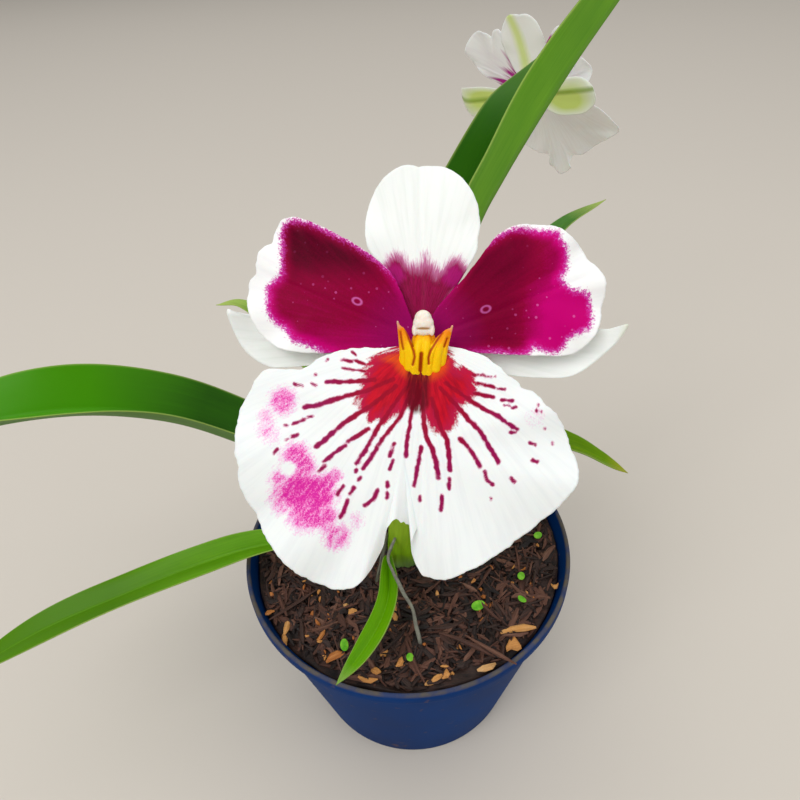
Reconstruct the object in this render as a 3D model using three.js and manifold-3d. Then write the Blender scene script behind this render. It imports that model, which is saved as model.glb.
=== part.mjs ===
// A potted miltonia orchid: a nursery pot of bark mix, two growths with their leaves,
// and two flowers, one facing the viewer and one turned away behind.
// Millimetres, +Z up. The origin is the centre of the pot's flat underside, +Y is the back.

import * as THREE from "three";
import { mergeVertices } from "three/addons/utils/BufferGeometryUtils.js";
import Module from "manifold-3d";

const wasm = await Module();
wasm.setup();

// Pot
const RIM_RADIUS = 55;
const POT_HEIGHT = 75;
const RIM_BAND = 4.5;
const BASE_RADIUS = 39.5;
const NECK_RADIUS = 53.3;
const WALL = 1.4;
const POT_SIDES = 44;
const DRAIN_HOLES = 6;
const DRAIN_RADIUS = 4;
const DRAIN_CIRCLE = 26;
const EDGE_ROUND = 0.6;
const FOOT_ROUND = 1.5;

// Clearance between touching pieces, and what the flats of a round piece take off it
const GAP = 0.3;
const FLAT_SLACK = 0.35;

// Potting mix
const MIX_LEVEL = 70.8;
const MIX_BUMP = 0.9;
const MIX_RINGS = 6;
const MIX_SIDES = 30;
const CHIP_COUNT = 46;
const CHIP_LENGTH = [8, 17];
const CHIP_WIDTH = [2.4, 5];
const CHIP_THICKNESS = 1.6;
const CHIP_ENDS = [0.8, 0.45];
const CHIP_ROLL = 1.2;
const CHIP_PITCH = 0.45;
const CHIP_RISE = 0.35;

// Blades
const LEAF_THICKNESS = 0.8;
const PETAL_THICKNESS = 0.8;

// Stalks. STALK_BACK gives the distances behind a flower at which its stalk comes in straight.
const SCAPE_RADIUS = 1.5;
const OVARY_RADIUS = 1.6;
const STALK_STEPS = 22;
const STALK_BACK = [26, 14, 1.6];
const ROOT_RADIUS = 0.6;

// The column leans up from its flower's axis by COLUMN_TILT degrees. The callus is a mound on
// the lip with a horn on each side.
const COLUMN_TILT = 32;
const CALLUS_RADII = [4.8, 3.8, 2.6];
const CALLUS_CENTRE = [0.2, -4.9, 2.2];
const HORN_RADIUS = 1.7;
const HORN_TIP = 0.6;

// Flowers
// heading turns the face from the front, anticlockwise seen from above, and rise tips it up.
// lipTilt is how far the lip comes forward for each millimetre down. sepalCupped is how fast
// the lower sepals' flanks curve forwards, or back where it is negative.
const FRONT_FLOWER = {
  centre: [5.6, -22.1, 170.1], size: 1, heading: 0, rise: 38.8, roll: -2.8, lipTilt: 0.22,
  sepalCupped: 0.035,
};
const REAR_FLOWER = {
  centre: [60.8, 140.2, 183.7], size: 0.78, heading: 137, rise: 18.6, roll: -2, lipTilt: 0.37,
  sepalCupped: -0.012,
};
const SEPAL_FLANK = 7;

function randomFrom(seed) {
  let state = seed;
  return () => {
    state = (state + 0x6d2b79f5) | 0;
    let mixed = Math.imul(state ^ (state >>> 15), 1 | state);
    mixed = (mixed + Math.imul(mixed ^ (mixed >>> 7), 61 | mixed)) ^ mixed;
    return ((mixed ^ (mixed >>> 14)) >>> 0) / 4294967296;
  };
}

function material(colour, roughness) {
  return new THREE.MeshStandardMaterial({ color: colour, roughness, metalness: 0 });
}

function finish(kind) {
  const finishes = {
    pot: () => material("#1b3050", 0.35),
    bark: () => material("#3b2a22", 0.9),
    leaf: () => material("#3d7d12", 0.45),
    bulb: () => material("#6f9a2a", 0.5),
    root: () => material("#8a8f7c", 0.7),
    stalk: () => material("#6f9440", 0.5),
    whiteTepal: () => material("#eff4f1", 0.6),
    magentaPetal: () => material("#890335", 0.55),
    column: () => material("#f1ecdc", 0.5),
  };
  return finishes[kind]();
}

function piece(name, geometry, kind) {
  const mesh = new THREE.Mesh(geometry, finish(kind));
  mesh.name = name;
  return mesh;
}

function meshFrom(positions, triangles) {
  const geometry = new THREE.BufferGeometry();
  geometry.setAttribute("position", new THREE.Float32BufferAttribute(positions, 3));
  geometry.setIndex(triangles);
  geometry.computeVertexNormals();
  return geometry;
}

// Solids for cutting and joining

function toSolid(geometry) {
  const bare = geometry.clone();
  bare.deleteAttribute("normal");
  bare.deleteAttribute("uv");
  const merged = mergeVertices(bare, 1e-4);
  return new wasm.Manifold(new wasm.Mesh({
    numProp: 3,
    vertProperties: new Float32Array(merged.attributes.position.array),
    triVerts: new Uint32Array(merged.index.array),
  }));
}

function fromSolid(solid) {
  const bodies = solid.decompose();
  bodies.sort((a, b) => b.volume() - a.volume());
  const mesh = bodies[0].getMesh();
  return meshFrom(Array.from(mesh.vertProperties), Array.from(mesh.triVerts));
}

// Curves and bodies

function smoothLine(points) {
  const vectors = points.map((point) => new THREE.Vector3(...point));
  return new THREE.CatmullRomCurve3(vectors, false, "catmullrom", 0.5);
}

function sweep(path, radiusAt, steps, sides) {
  const curve = smoothLine(path);
  const frames = curve.computeFrenetFrames(steps, false);
  const positions = [];
  const triangles = [];
  for (let i = 0; i <= steps; i += 1) {
    const centre = curve.getPointAt(i / steps);
    const radius = radiusAt(i / steps);
    for (let j = 0; j < sides; j += 1) {
      const angle = (2 * Math.PI * j) / sides;
      const point = centre.clone();
      point.addScaledVector(frames.normals[i], radius * Math.cos(angle));
      point.addScaledVector(frames.binormals[i], radius * Math.sin(angle));
      positions.push(...point.toArray());
    }
  }
  for (let i = 0; i < steps; i += 1) {
    for (let j = 0; j < sides; j += 1) {
      const a = i * sides + j;
      const b = i * sides + ((j + 1) % sides);
      triangles.push(a, b, b + sides, a, b + sides, a + sides);
    }
  }
  const last = steps * sides;
  for (let j = 1; j < sides - 1; j += 1) {
    triangles.push(0, j + 1, j);
    triangles.push(last, last + j, last + j + 1);
  }
  return meshFrom(positions, triangles);
}

function smoothStep(value) {
  const t = Math.min(1, Math.max(0, value));
  return t * t * (3 - 2 * t);
}

function between(list, share) {
  const at = Math.min(0.9999, Math.max(0, share)) * (list.length - 1);
  const index = Math.floor(at);
  return list[index] + (list[index + 1] - list[index]) * (at - index);
}

// Leaves: a keel line with a half blade on each side. lifts gives how far each half is
// folded up from flat, in degrees, at equal steps from the base to the tip.

const LEAF_OPEN_BY = 0.36;
const LEAF_CLOSE_FROM = 0.6;
const LEAF_TIP = 0.05;
const LEAF_CURL = 0.08;
const LEAF_STEEP = THREE.MathUtils.degToRad(50);

function leafShape(share, base) {
  const opening = base + (1 - base) * smoothStep(share / LEAF_OPEN_BY);
  const past = Math.max(0, (share - LEAF_CLOSE_FROM) / (1 - LEAF_CLOSE_FROM));
  return opening * Math.max(LEAF_TIP, 1 - past ** 2.2);
}

function leafGeometry({ keel, halfWidth, opening, lifts, base = 0.3, steps = 14 }) {
  const curve = smoothLine(keel);
  const towards = new THREE.Vector3(...opening).normalize();
  const across = [-1, -0.5, 0, 0.5, 1];
  const positions = [];
  const triangles = [];
  for (let i = 0; i <= steps; i += 1) {
    const share = i / steps;
    const point = curve.getPointAt(share);
    const tangent = curve.getTangentAt(share);
    const up = towards.clone().addScaledVector(tangent, -towards.dot(tangent)).normalize();
    const side = new THREE.Vector3().crossVectors(tangent, up);
    const width = halfWidth * leafShape(share, base);
    for (const face of [0.5, -0.5]) {
      for (const t of across) {
        const lift = THREE.MathUtils.degToRad(between(lifts[t < 0 ? 0 : 1], share));
        const bend = 1 - LEAF_CURL * t * t;
        const thick = (face * LEAF_THICKNESS) / Math.cos(Math.min(lift, 1) * 0.8);
        const lean = t === 0 ? 0 : Math.max(0, lift - LEAF_STEEP);
        const vertex = point.clone();
        vertex.addScaledVector(side, t * width * Math.cos(lift));
        vertex.addScaledVector(side, -Math.sign(t) * thick * Math.sin(lean));
        vertex.addScaledVector(up, Math.abs(t) * width * Math.sin(lift) * bend);
        vertex.addScaledVector(up, thick * Math.cos(lean));
        positions.push(...vertex.toArray());
      }
    }
  }
  const ring = [0, 1, 2, 3, 4, 9, 8, 7, 6, 5];
  for (let i = 0; i < steps; i += 1) {
    for (let j = 0; j < ring.length; j += 1) {
      const a = i * 10 + ring[j];
      const b = i * 10 + ring[(j + 1) % ring.length];
      triangles.push(a, b, b + 10, a, b + 10, a + 10);
    }
  }
  for (let j = 0; j < 4; j += 1) {
    const a = j;
    const end = steps * 10 + j;
    triangles.push(a, a + 6, a + 1, a, a + 5, a + 6);
    triangles.push(end, end + 1, end + 6, end, end + 6, end + 5);
  }
  return meshFrom(positions, triangles);
}

// Petals, sepals and lips: a disc of rings drawn in to a centre from a smooth outline, with
// spans steps between its points. relief(x, y) is the height of the middle of the blade,
// and its edge is waved.

function bladeGeometry({ outline, centre, relief, wave, spans, rings }) {
  const vectors = outline.map(([x, y]) => new THREE.Vector3(x, y, 0));
  const curve = new THREE.CatmullRomCurve3(vectors, true, "catmullrom", 0.5);
  const count = outline.length * spans;
  const edge = [];
  for (let i = 0; i < count; i += 1) {
    edge.push(curve.getPoint(i / count));
  }
  if (THREE.ShapeUtils.area(edge) < 0) {
    edge.reverse();
  }
  const positions = [];
  const triangles = [];
  const layer = 1 + rings * count;
  for (const face of [0.5, -0.5]) {
    positions.push(...centre, relief(...centre) + face * PETAL_THICKNESS);
    for (let ring = 1; ring <= rings; ring += 1) {
      const out = ring / rings;
      for (let i = 0; i < count; i += 1) {
        const x = centre[0] + (edge[i].x - centre[0]) * out;
        const y = centre[1] + (edge[i].y - centre[1]) * out;
        const ripple = wave.height * out ** 3 * Math.sin((2 * Math.PI * wave.count * i) / count);
        const z = relief(x, y) + ripple * wave.where(x, y);
        positions.push(x, y, z + face * PETAL_THICKNESS);
      }
    }
  }
  for (let i = 0; i < count; i += 1) {
    const j = (i + 1) % count;
    triangles.push(0, 1 + i, 1 + j, layer, layer + 1 + j, layer + 1 + i);
    for (let ring = 0; ring < rings - 1; ring += 1) {
      const a = 1 + ring * count;
      const b = a + count;
      triangles.push(a + i, b + i, b + j, a + i, b + j, a + j);
      triangles.push(layer + a + i, layer + b + j, layer + b + i);
      triangles.push(layer + a + i, layer + a + j, layer + b + j);
    }
    const rim = 1 + (rings - 1) * count;
    triangles.push(rim + i, layer + rim + i, layer + rim + j);
    triangles.push(rim + i, layer + rim + j, rim + j);
  }
  return meshFrom(positions, triangles);
}

// One flower, in its own frame: +Z out of its face, +Y towards the dorsal sepal,
// the origin where the petals meet.

const DORSAL_SEPAL = [
  [0, 40], [5.5, 39.4], [10, 35.8], [13, 30], [13.4, 25.5], [12.5, 20], [9.5, 14.5],
  [5.4, 8], [2.4, 2.6], [-2.4, 2.6], [-5, 8], [-8.8, 15.5], [-12, 21], [-12.4, 26],
  [-11.5, 31], [-9, 35.9], [-4.5, 39.5],
];
const LEFT_PETAL = [
  [-2.3, 1.6], [-2.8, 7], [-6, 14], [-10, 18], [-16.5, 22.5], [-25, 26.5], [-30, 27],
  [-33.5, 23.5], [-36, 18.5], [-38.5, 12.5], [-38.5, 8], [-36.5, 2.5], [-33, -1],
  [-29, -2.5], [-21.5, -3], [-11, -2.6], [-2.9, -1],
];
const RIGHT_PETAL = [
  [2.3, 1.6], [3.4, 7], [10, 14.5], [16, 22.5], [20, 25], [24.5, 26], [29.5, 25.5],
  [34, 22.5], [37, 19.5], [40.5, 14], [41.2, 10], [40.3, 5], [37.5, 0], [33.5, -3],
  [25.5, -3.6], [17.5, -3.2], [9, -2.6], [2.9, -1],
];
const LEFT_SEPAL = [
  [-3.2, -0.9], [-11.5, -3], [-22.5, -5], [-32, -5.8], [-36, -5], [-40, -2], [-42.5, 2.5],
  [-43.4, 7], [-41, 6.6], [-35, 5.6], [-27.5, 4.5], [-16, 3], [-3.2, 0.9],
];
const RIGHT_SEPAL = [
  [3.2, 0.9], [13.5, 2.5], [27, 3], [38.5, 3.2], [43, 3], [46, 3.6], [44.5, 0],
  [41, -3.5], [36, -7], [30.5, -8.2], [20, -7.6], [9, -4.5], [3.2, -0.9],
];
const LIP = [
  [-3, -1], [-9, -1.6], [-15, -1.8], [-21, -3.4], [-26, -6.2], [-33.5, -6.5],
  [-37, -10.5], [-40, -17.5], [-40, -25], [-38, -34], [-35.5, -39], [-32, -45],
  [-27.5, -49.5], [-23.5, -52.5], [-19, -54], [-14, -52.5], [-11, -49.5], [-8.3, -44.6],
  [-7.6, -40.8], [-5.6, -38.6], [-3.2, -39.6], [-0.8, -40], [-2, -42.4], [-2, -46], [0.4, -51],
  [5, -51.3],
  [11.5, -48.5], [19.5, -44], [26.5, -38.5], [32, -32.5], [33.5, -28], [32, -22],
  [29.5, -17], [26.5, -13.5], [22.5, -9.8], [18.5, -7], [14, -3.6], [8, -1.8], [3, -1],
];

const REAR_LEFT_PETAL = [
  [-3, 1.8], [-3.2, 8], [-8, 20], [-14, 29], [-18.5, 33.5], [-21.5, 32.5], [-23, 26.5],
  [-29, 22], [-34.5, 17], [-35, 10.5], [-29, 3], [-20, -1], [-11, -2.6], [-3.4, -1.2],
];
const REAR_RIGHT_PETAL = [
  [3, 1.8], [3.4, 8], [8.5, 18], [12.5, 27], [15.5, 31], [18.5, 30.5], [21, 27], [23.5, 29.5],
  [27.5, 30.5], [34, 26.5], [38, 20], [36, 14], [31, 9], [25, 4], [16, 0], [9, -2.6],
  [3.4, -1.2],
];
const REAR_LEFT_SEPAL = [
  [-3.2, -0.9], [-9, -5], [-18, -7.8], [-27.6, -6.6], [-34.2, -4.5], [-38.8, -0.5], [-40, 3.5],
  [-39.6, 7.5], [-37.8, 10.6], [-34, 12.8], [-28.9, 13.2], [-20, 11], [-12, 6.8], [-3.2, 0.9],
];
const REAR_RIGHT_SEPAL = [
  [3.2, 0.9], [13, 2.5], [24, 3], [33, 2.8], [41, 1.5], [46.5, -1.5], [48.5, -6.5], [46, -12],
  [39, -15], [29, -14], [18, -10], [9, -5], [3.2, -0.9],
];
const REAR_LIP = [
  [-3, -1], [-14, -2], [-24, -3.2], [-33, -4.8], [-41, -9.5], [-46.5, -19], [-40.4, -24.6],
  [-32, -31.8], [-23, -39], [-14.5, -43], [-12.4, -47.5], [-12.4, -51.5], [-8.9, -54.9],
  [-3.3, -56], [0.5, -53.3], [1.4, -48.6], [3, -45.5], [9, -43], [20, -39.5], [28, -30], [31, -18], [25, -8], [14, -3], [3, -1],
];

const FRONT_OUTLINES = {
  dorsal_sepal: DORSAL_SEPAL,
  left_petal: LEFT_PETAL,
  right_petal: RIGHT_PETAL,
  left_lateral_sepal: LEFT_SEPAL,
  right_lateral_sepal: RIGHT_SEPAL,
  lip: LIP,
};
const REAR_OUTLINES = {
  ...FRONT_OUTLINES,
  left_petal: REAR_LEFT_PETAL,
  right_petal: REAR_RIGHT_PETAL,
  left_lateral_sepal: REAR_LEFT_SEPAL,
  right_lateral_sepal: REAR_RIGHT_SEPAL,
  lip: REAR_LIP,
};

const WAVES = {
  petal: { height: 0.9, count: 7, where: (x) => smoothStep((Math.abs(x) - 12) / 14) },
  dorsal: { height: 0.6, count: 5, where: (x, y) => smoothStep((y - 10) / 12) },
  sepal: { height: 0.3, count: 4, where: (x) => smoothStep((Math.abs(x) - 20) / 10) },
  lip: { height: 1.3, count: 11, where: (x, y) => smoothStep((-y - 6) / 16) },
};

function petalRelief(x, y) {
  const reach = Math.hypot(x, y);
  return -1.2 + 0.1 * reach - 0.003 * reach * reach;
}

function dorsalRelief(x, y) {
  return -3.3 + 0.06 * y - 0.0022 * y * y + 0.004 * x * x;
}

function sepalRelief(cupped) {
  return (x, y) => {
    const reach = Math.hypot(x, y);
    const hook = Math.max(0, reach - 37);
    const off = Math.min(SEPAL_FLANK, Math.abs(y + 1));
    return -4.3 - 0.06 * reach + cupped * off * off + 0.05 * hook * hook;
  };
}

function lipRelief(tilt) {
  return (x, y) => {
    const down = Math.max(0, -y - 1);
    const shoulder = 1.7 - 0.0016 * x * x;
    return shoulder + tilt * down - 0.0035 * down * down;
  };
}

function callusSolid() {
  const mound = new THREE.SphereGeometry(1, 12, 8);
  mound.scale(...CALLUS_RADII);
  mound.translate(...CALLUS_CENTRE);
  let solid = toSolid(mound);
  for (const side of [-1, 1]) {
    const path = [
      [side * 1.8 + 0.2, -4, 2.5],
      [side * 3.8 + 0.2, -0.5, 4.5],
      [side * 5 + 0.3, 3 - side * 0.5, 6.1],
    ];
    const radius = (share) => HORN_RADIUS + (HORN_TIP - HORN_RADIUS) * share;
    solid = solid.add(toSolid(sweep(path, radius, 4, 7)));
  }
  return solid;
}

function lipGeometry(outline, tilt, spans, rings) {
  const blade = bladeGeometry({
    outline,
    centre: [-4, -24],
    relief: lipRelief(tilt),
    wave: WAVES.lip,
    spans,
    rings,
  });
  return fromSolid(toSolid(blade).add(callusSolid()));
}

function columnGeometry() {
  const profile = [
    [0, 0], [1.6, 0], [1.8, 2], [1.7, 4.4], [2.05, 5.8], [2, 7.4], [1.2, 8.5], [0, 8.8],
  ];
  const column = new THREE.LatheGeometry(profile.map((p) => new THREE.Vector2(...p)), 12);
  column.rotateX(Math.PI / 2 - THREE.MathUtils.degToRad(COLUMN_TILT));
  column.translate(0, 0.6, -0.6);
  return column;
}

function turnOf({ heading, rise, roll }) {
  const turn = new THREE.Quaternion();
  const steps = [[0, 0, 1, heading], [1, 0, 0, 90 - rise], [0, 0, 1, roll]];
  for (const [x, y, z, degrees] of steps) {
    const step = new THREE.Quaternion();
    step.setFromAxisAngle(new THREE.Vector3(x, y, z), THREE.MathUtils.degToRad(degrees));
    turn.multiply(step);
  }
  return turn;
}

function placeOf(placing, x, y, z) {
  const point = new THREE.Vector3(x, y, z).multiplyScalar(placing.size);
  point.applyQuaternion(turnOf(placing));
  return point.add(new THREE.Vector3(...placing.centre)).toArray();
}

function tepalsOf(placing) {
  const sepal = sepalRelief(placing.sepalCupped);
  return {
    dorsal_sepal: [[0, 24], dorsalRelief, WAVES.dorsal, "whiteTepal"],
    left_petal: [[-21, 9], petalRelief, WAVES.petal, "magentaPetal"],
    right_petal: [[22, 9], petalRelief, WAVES.petal, "magentaPetal"],
    left_lateral_sepal: [[-24, -0.5], sepal, WAVES.sepal, "whiteTepal"],
    right_lateral_sepal: [[25, -2], sepal, WAVES.sepal, "whiteTepal"],
  };
}

function flower(prefix, placing, outlines, spans, rings) {
  const bloom = new THREE.Group();
  for (const [name, [centre, relief, wave, kind]] of Object.entries(tepalsOf(placing))) {
    const outline = outlines[name];
    const geometry = bladeGeometry({ outline, centre, relief, wave, spans, rings });
    bloom.add(piece(`${prefix}_${name}`, geometry, kind));
  }
  const lip = lipGeometry(outlines.lip, placing.lipTilt, spans, rings + 1);
  bloom.add(piece(`${prefix}_lip`, lip, "whiteTepal"));
  bloom.add(piece(`${prefix}_column`, columnGeometry(), "column"));
  bloom.scale.setScalar(placing.size);
  bloom.position.set(...placing.centre);
  bloom.quaternion.copy(turnOf(placing));
  return bloom;
}

// Each stalk rises from the mix and bends into the back of its flower

function stalkGeometry(placing, rise, grow) {
  const back = STALK_BACK.map((distance) => placeOf(placing, 0, 0, -distance));
  const foot = [rise[0][0], rise[0][1], rise[0][2] - grow];
  const tip = OVARY_RADIUS * placing.size;
  const radius = (share) => SCAPE_RADIUS + (tip - SCAPE_RADIUS) * share + grow;
  return sweep([foot, ...rise.slice(1), ...back], radius, STALK_STEPS, 8);
}

const FRONT_SCAPE = [[10, -3, 60], [12.5, -2, 95], [12.5, 0, 125], [9, 2, 143]];
const REAR_SCAPE = [[5, 19, 60], [8, 28, 100], [16, 50, 138], [27, 82, 166], [37, 106, 175.5]];

// Growths: flattened bulbs standing in the mix

const BULBS = {
  front_pseudobulb: { centre: [-1, -6, 60], radii: [6, 4.5], height: 43 },
  rear_pseudobulb: { centre: [5, 9.5, 60], radii: [8, 5.5], height: 48 },
};

function bulbGeometry({ centre, radii, height }, grow) {
  const shares = [[0, 0], [0.7, 0], [0.95, 0.1], [1, 0.3], [0.93, 0.5], [0.72, 0.75], [0.42, 0.92],
    [0, 1]];
  const profile = shares.map(([out, up]) => new THREE.Vector2(out, up));
  const bulb = new THREE.LatheGeometry(profile, 16);
  bulb.rotateX(Math.PI / 2);
  bulb.scale(radii[0] + grow, radii[1] + grow, height + 2 * grow);
  bulb.translate(centre[0], centre[1], centre[2] - grow);
  return bulb;
}

// Leaves. Each keel runs from its seat at a bulb to the leaf's tip.

const LEAVES = {
  top_leaf: {
    keel: [[5.6, 9.6, 108.6], [10.5, 11.5, 143], [22, 20, 174], [30.3, 27.4, 187], [48.6, 45.9, 207],
      [64.6, 60.9, 222.3], [80, 78, 235], [92, 98, 240]],
    halfWidth: 16,
    opening: [-0.84, 0.34, 0.42],
    lifts: [
      [70, 76, 84, 90, 93, 95, 97, 66, 40, 28, 20, 15, 15],
      [30, 31, 30, 28, 26, 25, 30, 28, 26, 28, 30, 22, 15],
    ],
    steps: 20,
  },
  left_upper_leaf: {
    keel: [[-5.2, 9.5, 80], [-18, 6, 94.6], [-33.4, 5.7, 104.2], [-53.7, 10.2, 114.6],
      [-73.8, 10.3, 124.3], [-97.8, 5, 132], [-125, -3, 133], [-150, -12, 124]],
    halfWidth: 16.5,
    opening: [0.2, 0.63, 0.77],
    lifts: [[24, 22, 17, 10, 5, 8, 15], [60, 60, 55, 74, 90, 80, 50]],
    base: 0.16,
  },
  left_lower_leaf: {
    keel: [[-7.8, -6, 78], [-22, -6.3, 84.6], [-45.8, -8.6, 84.8], [-64.8, -12.7, 82.9],
      [-87.5, -20.2, 79.9], [-115, -29, 74], [-146, -40, 62]],
    halfWidth: 6.4,
    opening: [0, -0.15, 1],
    lifts: [[50, 35, 25, 20], [50, 35, 25, 20]],
  },
  front_leaf: {
    keel: [[-5.8, -10.8, 76], [-6.4, -15.5, 82.5], [-6.1, -27.3, 83.8], [-8.6, -35.9, 82.8],
      [-13.9, -45.2, 82.4], [-21, -53.2, 80.4]],
    halfWidth: 3.6,
    opening: [0, -0.3, 1],
    lifts: [[60, 35, 20], [60, 35, 20]],
  },
  right_leaf: {
    keel: [[14.6, 9, 84], [27, 13, 99], [41, 15.4, 105], [57.4, 14.7, 99.4], [67.7, 14, 93.8],
      [77.8, 12.3, 88.4]],
    halfWidth: 6,
    opening: [0, 0, 1],
    lifts: [[60, 35, 20], [60, 35, 20]],
  },
  back_right_leaf: {
    keel: [[9.6, 15.5, 84], [28, 40, 118], [48, 65, 141], [63.6, 80.8, 150], [82, 92, 155]],
    halfWidth: 5,
    opening: [-0.3, -0.3, 1],
    lifts: [[60, 35, 20], [60, 35, 20]],
  },
  back_left_leaf: {
    keel: [[0.4, 15.5, 82], [-20, 35, 107], [-43, 56, 125], [-57.7, 68.7, 130], [-68.5, 71, 129.5]],
    halfWidth: 5,
    opening: [0.3, -0.3, 1],
    lifts: [[60, 35, 20], [60, 35, 20]],
  },
};

const ROOT_PATH = [[-4, -9.8, 86.2], [-6.1, -16.4, 86.3], [-4.6, -22.9, 87.5],
  [-3.1, -26.6, 87.5], [-1.7, -29.4, 86], [0.7, -31.8, 81.6],
  [1.5, -34.2, 76.5], [2.5, -37.2, 72], [2.6, -38.2, 63]];

function rootGeometry(grow) {
  const [x, y, z] = ROOT_PATH[ROOT_PATH.length - 1];
  const path = [...ROOT_PATH.slice(0, -1), [x, y, z - grow]];
  return sweep(path, () => ROOT_RADIUS + grow, 16, 6);
}

// Pot: a moulded shell, thin in the wall, with a rim band and drain holes in its floor

function wallRadius(height) {
  return BASE_RADIUS + ((NECK_RADIUS - BASE_RADIUS) * height) / (POT_HEIGHT - RIM_BAND);
}

function potGeometry() {
  const neck = POT_HEIGHT - RIM_BAND;
  const profile = [
    [0, 0], [BASE_RADIUS - FOOT_ROUND, 0], [wallRadius(FOOT_ROUND), FOOT_ROUND],
    [NECK_RADIUS, neck], [RIM_RADIUS - EDGE_ROUND, neck], [RIM_RADIUS, neck + EDGE_ROUND],
    [RIM_RADIUS, POT_HEIGHT - EDGE_ROUND], [RIM_RADIUS - EDGE_ROUND, POT_HEIGHT],
    [RIM_RADIUS - WALL, POT_HEIGHT], [NECK_RADIUS - WALL, neck],
    [wallRadius(WALL + FOOT_ROUND) - WALL, WALL + FOOT_ROUND],
    [wallRadius(WALL) - WALL - FOOT_ROUND, WALL], [0, WALL],
  ];
  const points = profile.map((p) => new THREE.Vector2(...p));
  const shell = new THREE.LatheGeometry(points, POT_SIDES);
  shell.rotateX(Math.PI / 2);
  let solid = toSolid(shell);
  for (let i = 0; i < DRAIN_HOLES; i += 1) {
    const angle = (2 * Math.PI * i) / DRAIN_HOLES;
    const hole = new THREE.CylinderGeometry(DRAIN_RADIUS, DRAIN_RADIUS, 4 * WALL, 12);
    hole.rotateX(Math.PI / 2);
    hole.translate(DRAIN_CIRCLE * Math.cos(angle), DRAIN_CIRCLE * Math.sin(angle), WALL / 2);
    solid = solid.subtract(toSolid(hole));
  }
  return fromSolid(solid);
}

// Mix: a filled body with a lumpy top, shreds of bark sunk in it, and plain holes for
// everything that stands in it

function mixHeight(x, y) {
  const lumps = Math.sin(0.23 * x + 1.3) * Math.cos(0.19 * y) + 0.6 * Math.sin(0.41 * y + 0.33 * x);
  return MIX_LEVEL + MIX_BUMP * lumps;
}

function mixBody() {
  const low = WALL + GAP;
  const knee = low + FOOT_ROUND;
  const inset = WALL + GAP + FLAT_SLACK;
  const positions = [0, 0, mixHeight(0, 0)];
  const triangles = [];
  const edge = wallRadius(MIX_LEVEL) - inset;
  const rows = [];
  for (let ring = 1; ring <= MIX_RINGS; ring += 1) {
    rows.push([(edge * ring) / MIX_RINGS, null]);
  }
  rows.push([wallRadius(knee) - inset, knee]);
  rows.push([wallRadius(low) - inset - FOOT_ROUND, low]);
  for (const [radius, height] of rows) {
    for (let i = 0; i < MIX_SIDES; i += 1) {
      const angle = (2 * Math.PI * i) / MIX_SIDES;
      const x = radius * Math.cos(angle);
      const y = radius * Math.sin(angle);
      positions.push(x, y, height ?? mixHeight(x, y));
    }
  }
  for (let i = 0; i < MIX_SIDES; i += 1) {
    const j = (i + 1) % MIX_SIDES;
    triangles.push(0, 1 + i, 1 + j);
    for (let row = 0; row < rows.length - 1; row += 1) {
      const a = 1 + row * MIX_SIDES;
      const b = a + MIX_SIDES;
      triangles.push(a + i, b + i, b + j, a + i, b + j, a + j);
    }
    const last = 1 + (rows.length - 1) * MIX_SIDES;
    if (i > 0 && i < MIX_SIDES - 1) {
      triangles.push(last, last + i + 1, last + i);
    }
  }
  return toSolid(meshFrom(positions, triangles));
}

function chipSolid(random) {
  const length = THREE.MathUtils.lerp(...CHIP_LENGTH, random());
  const width = THREE.MathUtils.lerp(...CHIP_WIDTH, random());
  const chip = new THREE.BoxGeometry(length, width, CHIP_THICKNESS);
  const shape = chip.attributes.position;
  for (let i = 0; i < shape.count; i += 1) {
    const taper = CHIP_ENDS[shape.getX(i) > 0 ? 1 : 0];
    shape.setY(i, shape.getY(i) * taper);
  }
  const reach = (wallRadius(MIX_LEVEL) - WALL - 2 - length / 2) * Math.sqrt(random());
  const angle = 2 * Math.PI * random();
  const x = reach * Math.cos(angle);
  const y = reach * Math.sin(angle);
  chip.rotateX((random() - 0.5) * CHIP_ROLL);
  chip.rotateY((random() - 0.5) * CHIP_PITCH);
  chip.rotateZ(2 * Math.PI * random());
  chip.translate(x, y, mixHeight(x, y) + CHIP_RISE);
  return toSolid(chip);
}

function mixGeometry() {
  const random = randomFrom(41);
  let solid = mixBody();
  for (let i = 0; i < CHIP_COUNT; i += 1) {
    solid = solid.add(chipSolid(random));
  }
  for (const bulb of Object.values(BULBS)) {
    solid = solid.subtract(toSolid(bulbGeometry(bulb, GAP)));
  }
  solid = solid.subtract(toSolid(stalkGeometry(FRONT_FLOWER, FRONT_SCAPE, GAP)));
  solid = solid.subtract(toSolid(stalkGeometry(REAR_FLOWER, REAR_SCAPE, GAP)));
  solid = solid.subtract(toSolid(rootGeometry(GAP)));
  return fromSolid(solid);
}

const orchid = new THREE.Group();
orchid.add(piece("pot", potGeometry(), "pot"));
orchid.add(piece("potting_mix", mixGeometry(), "bark"));
for (const [name, bulb] of Object.entries(BULBS)) {
  orchid.add(piece(name, bulbGeometry(bulb, 0), "bulb"));
}
for (const [name, leaf] of Object.entries(LEAVES)) {
  orchid.add(piece(name, leafGeometry(leaf), "leaf"));
}
orchid.add(piece("aerial_root", rootGeometry(0), "root"));
orchid.add(piece("front_flower_stalk", stalkGeometry(FRONT_FLOWER, FRONT_SCAPE, 0), "stalk"));
orchid.add(piece("rear_flower_stalk", stalkGeometry(REAR_FLOWER, REAR_SCAPE, 0), "stalk"));
orchid.add(flower("front", FRONT_FLOWER, FRONT_OUTLINES, 2, 4));
orchid.add(flower("rear", REAR_FLOWER, REAR_OUTLINES, 2, 2));

export default orchid;
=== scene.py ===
import math

import bpy
import numpy as np
from mathutils import Euler, Matrix, Vector, noise


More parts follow.
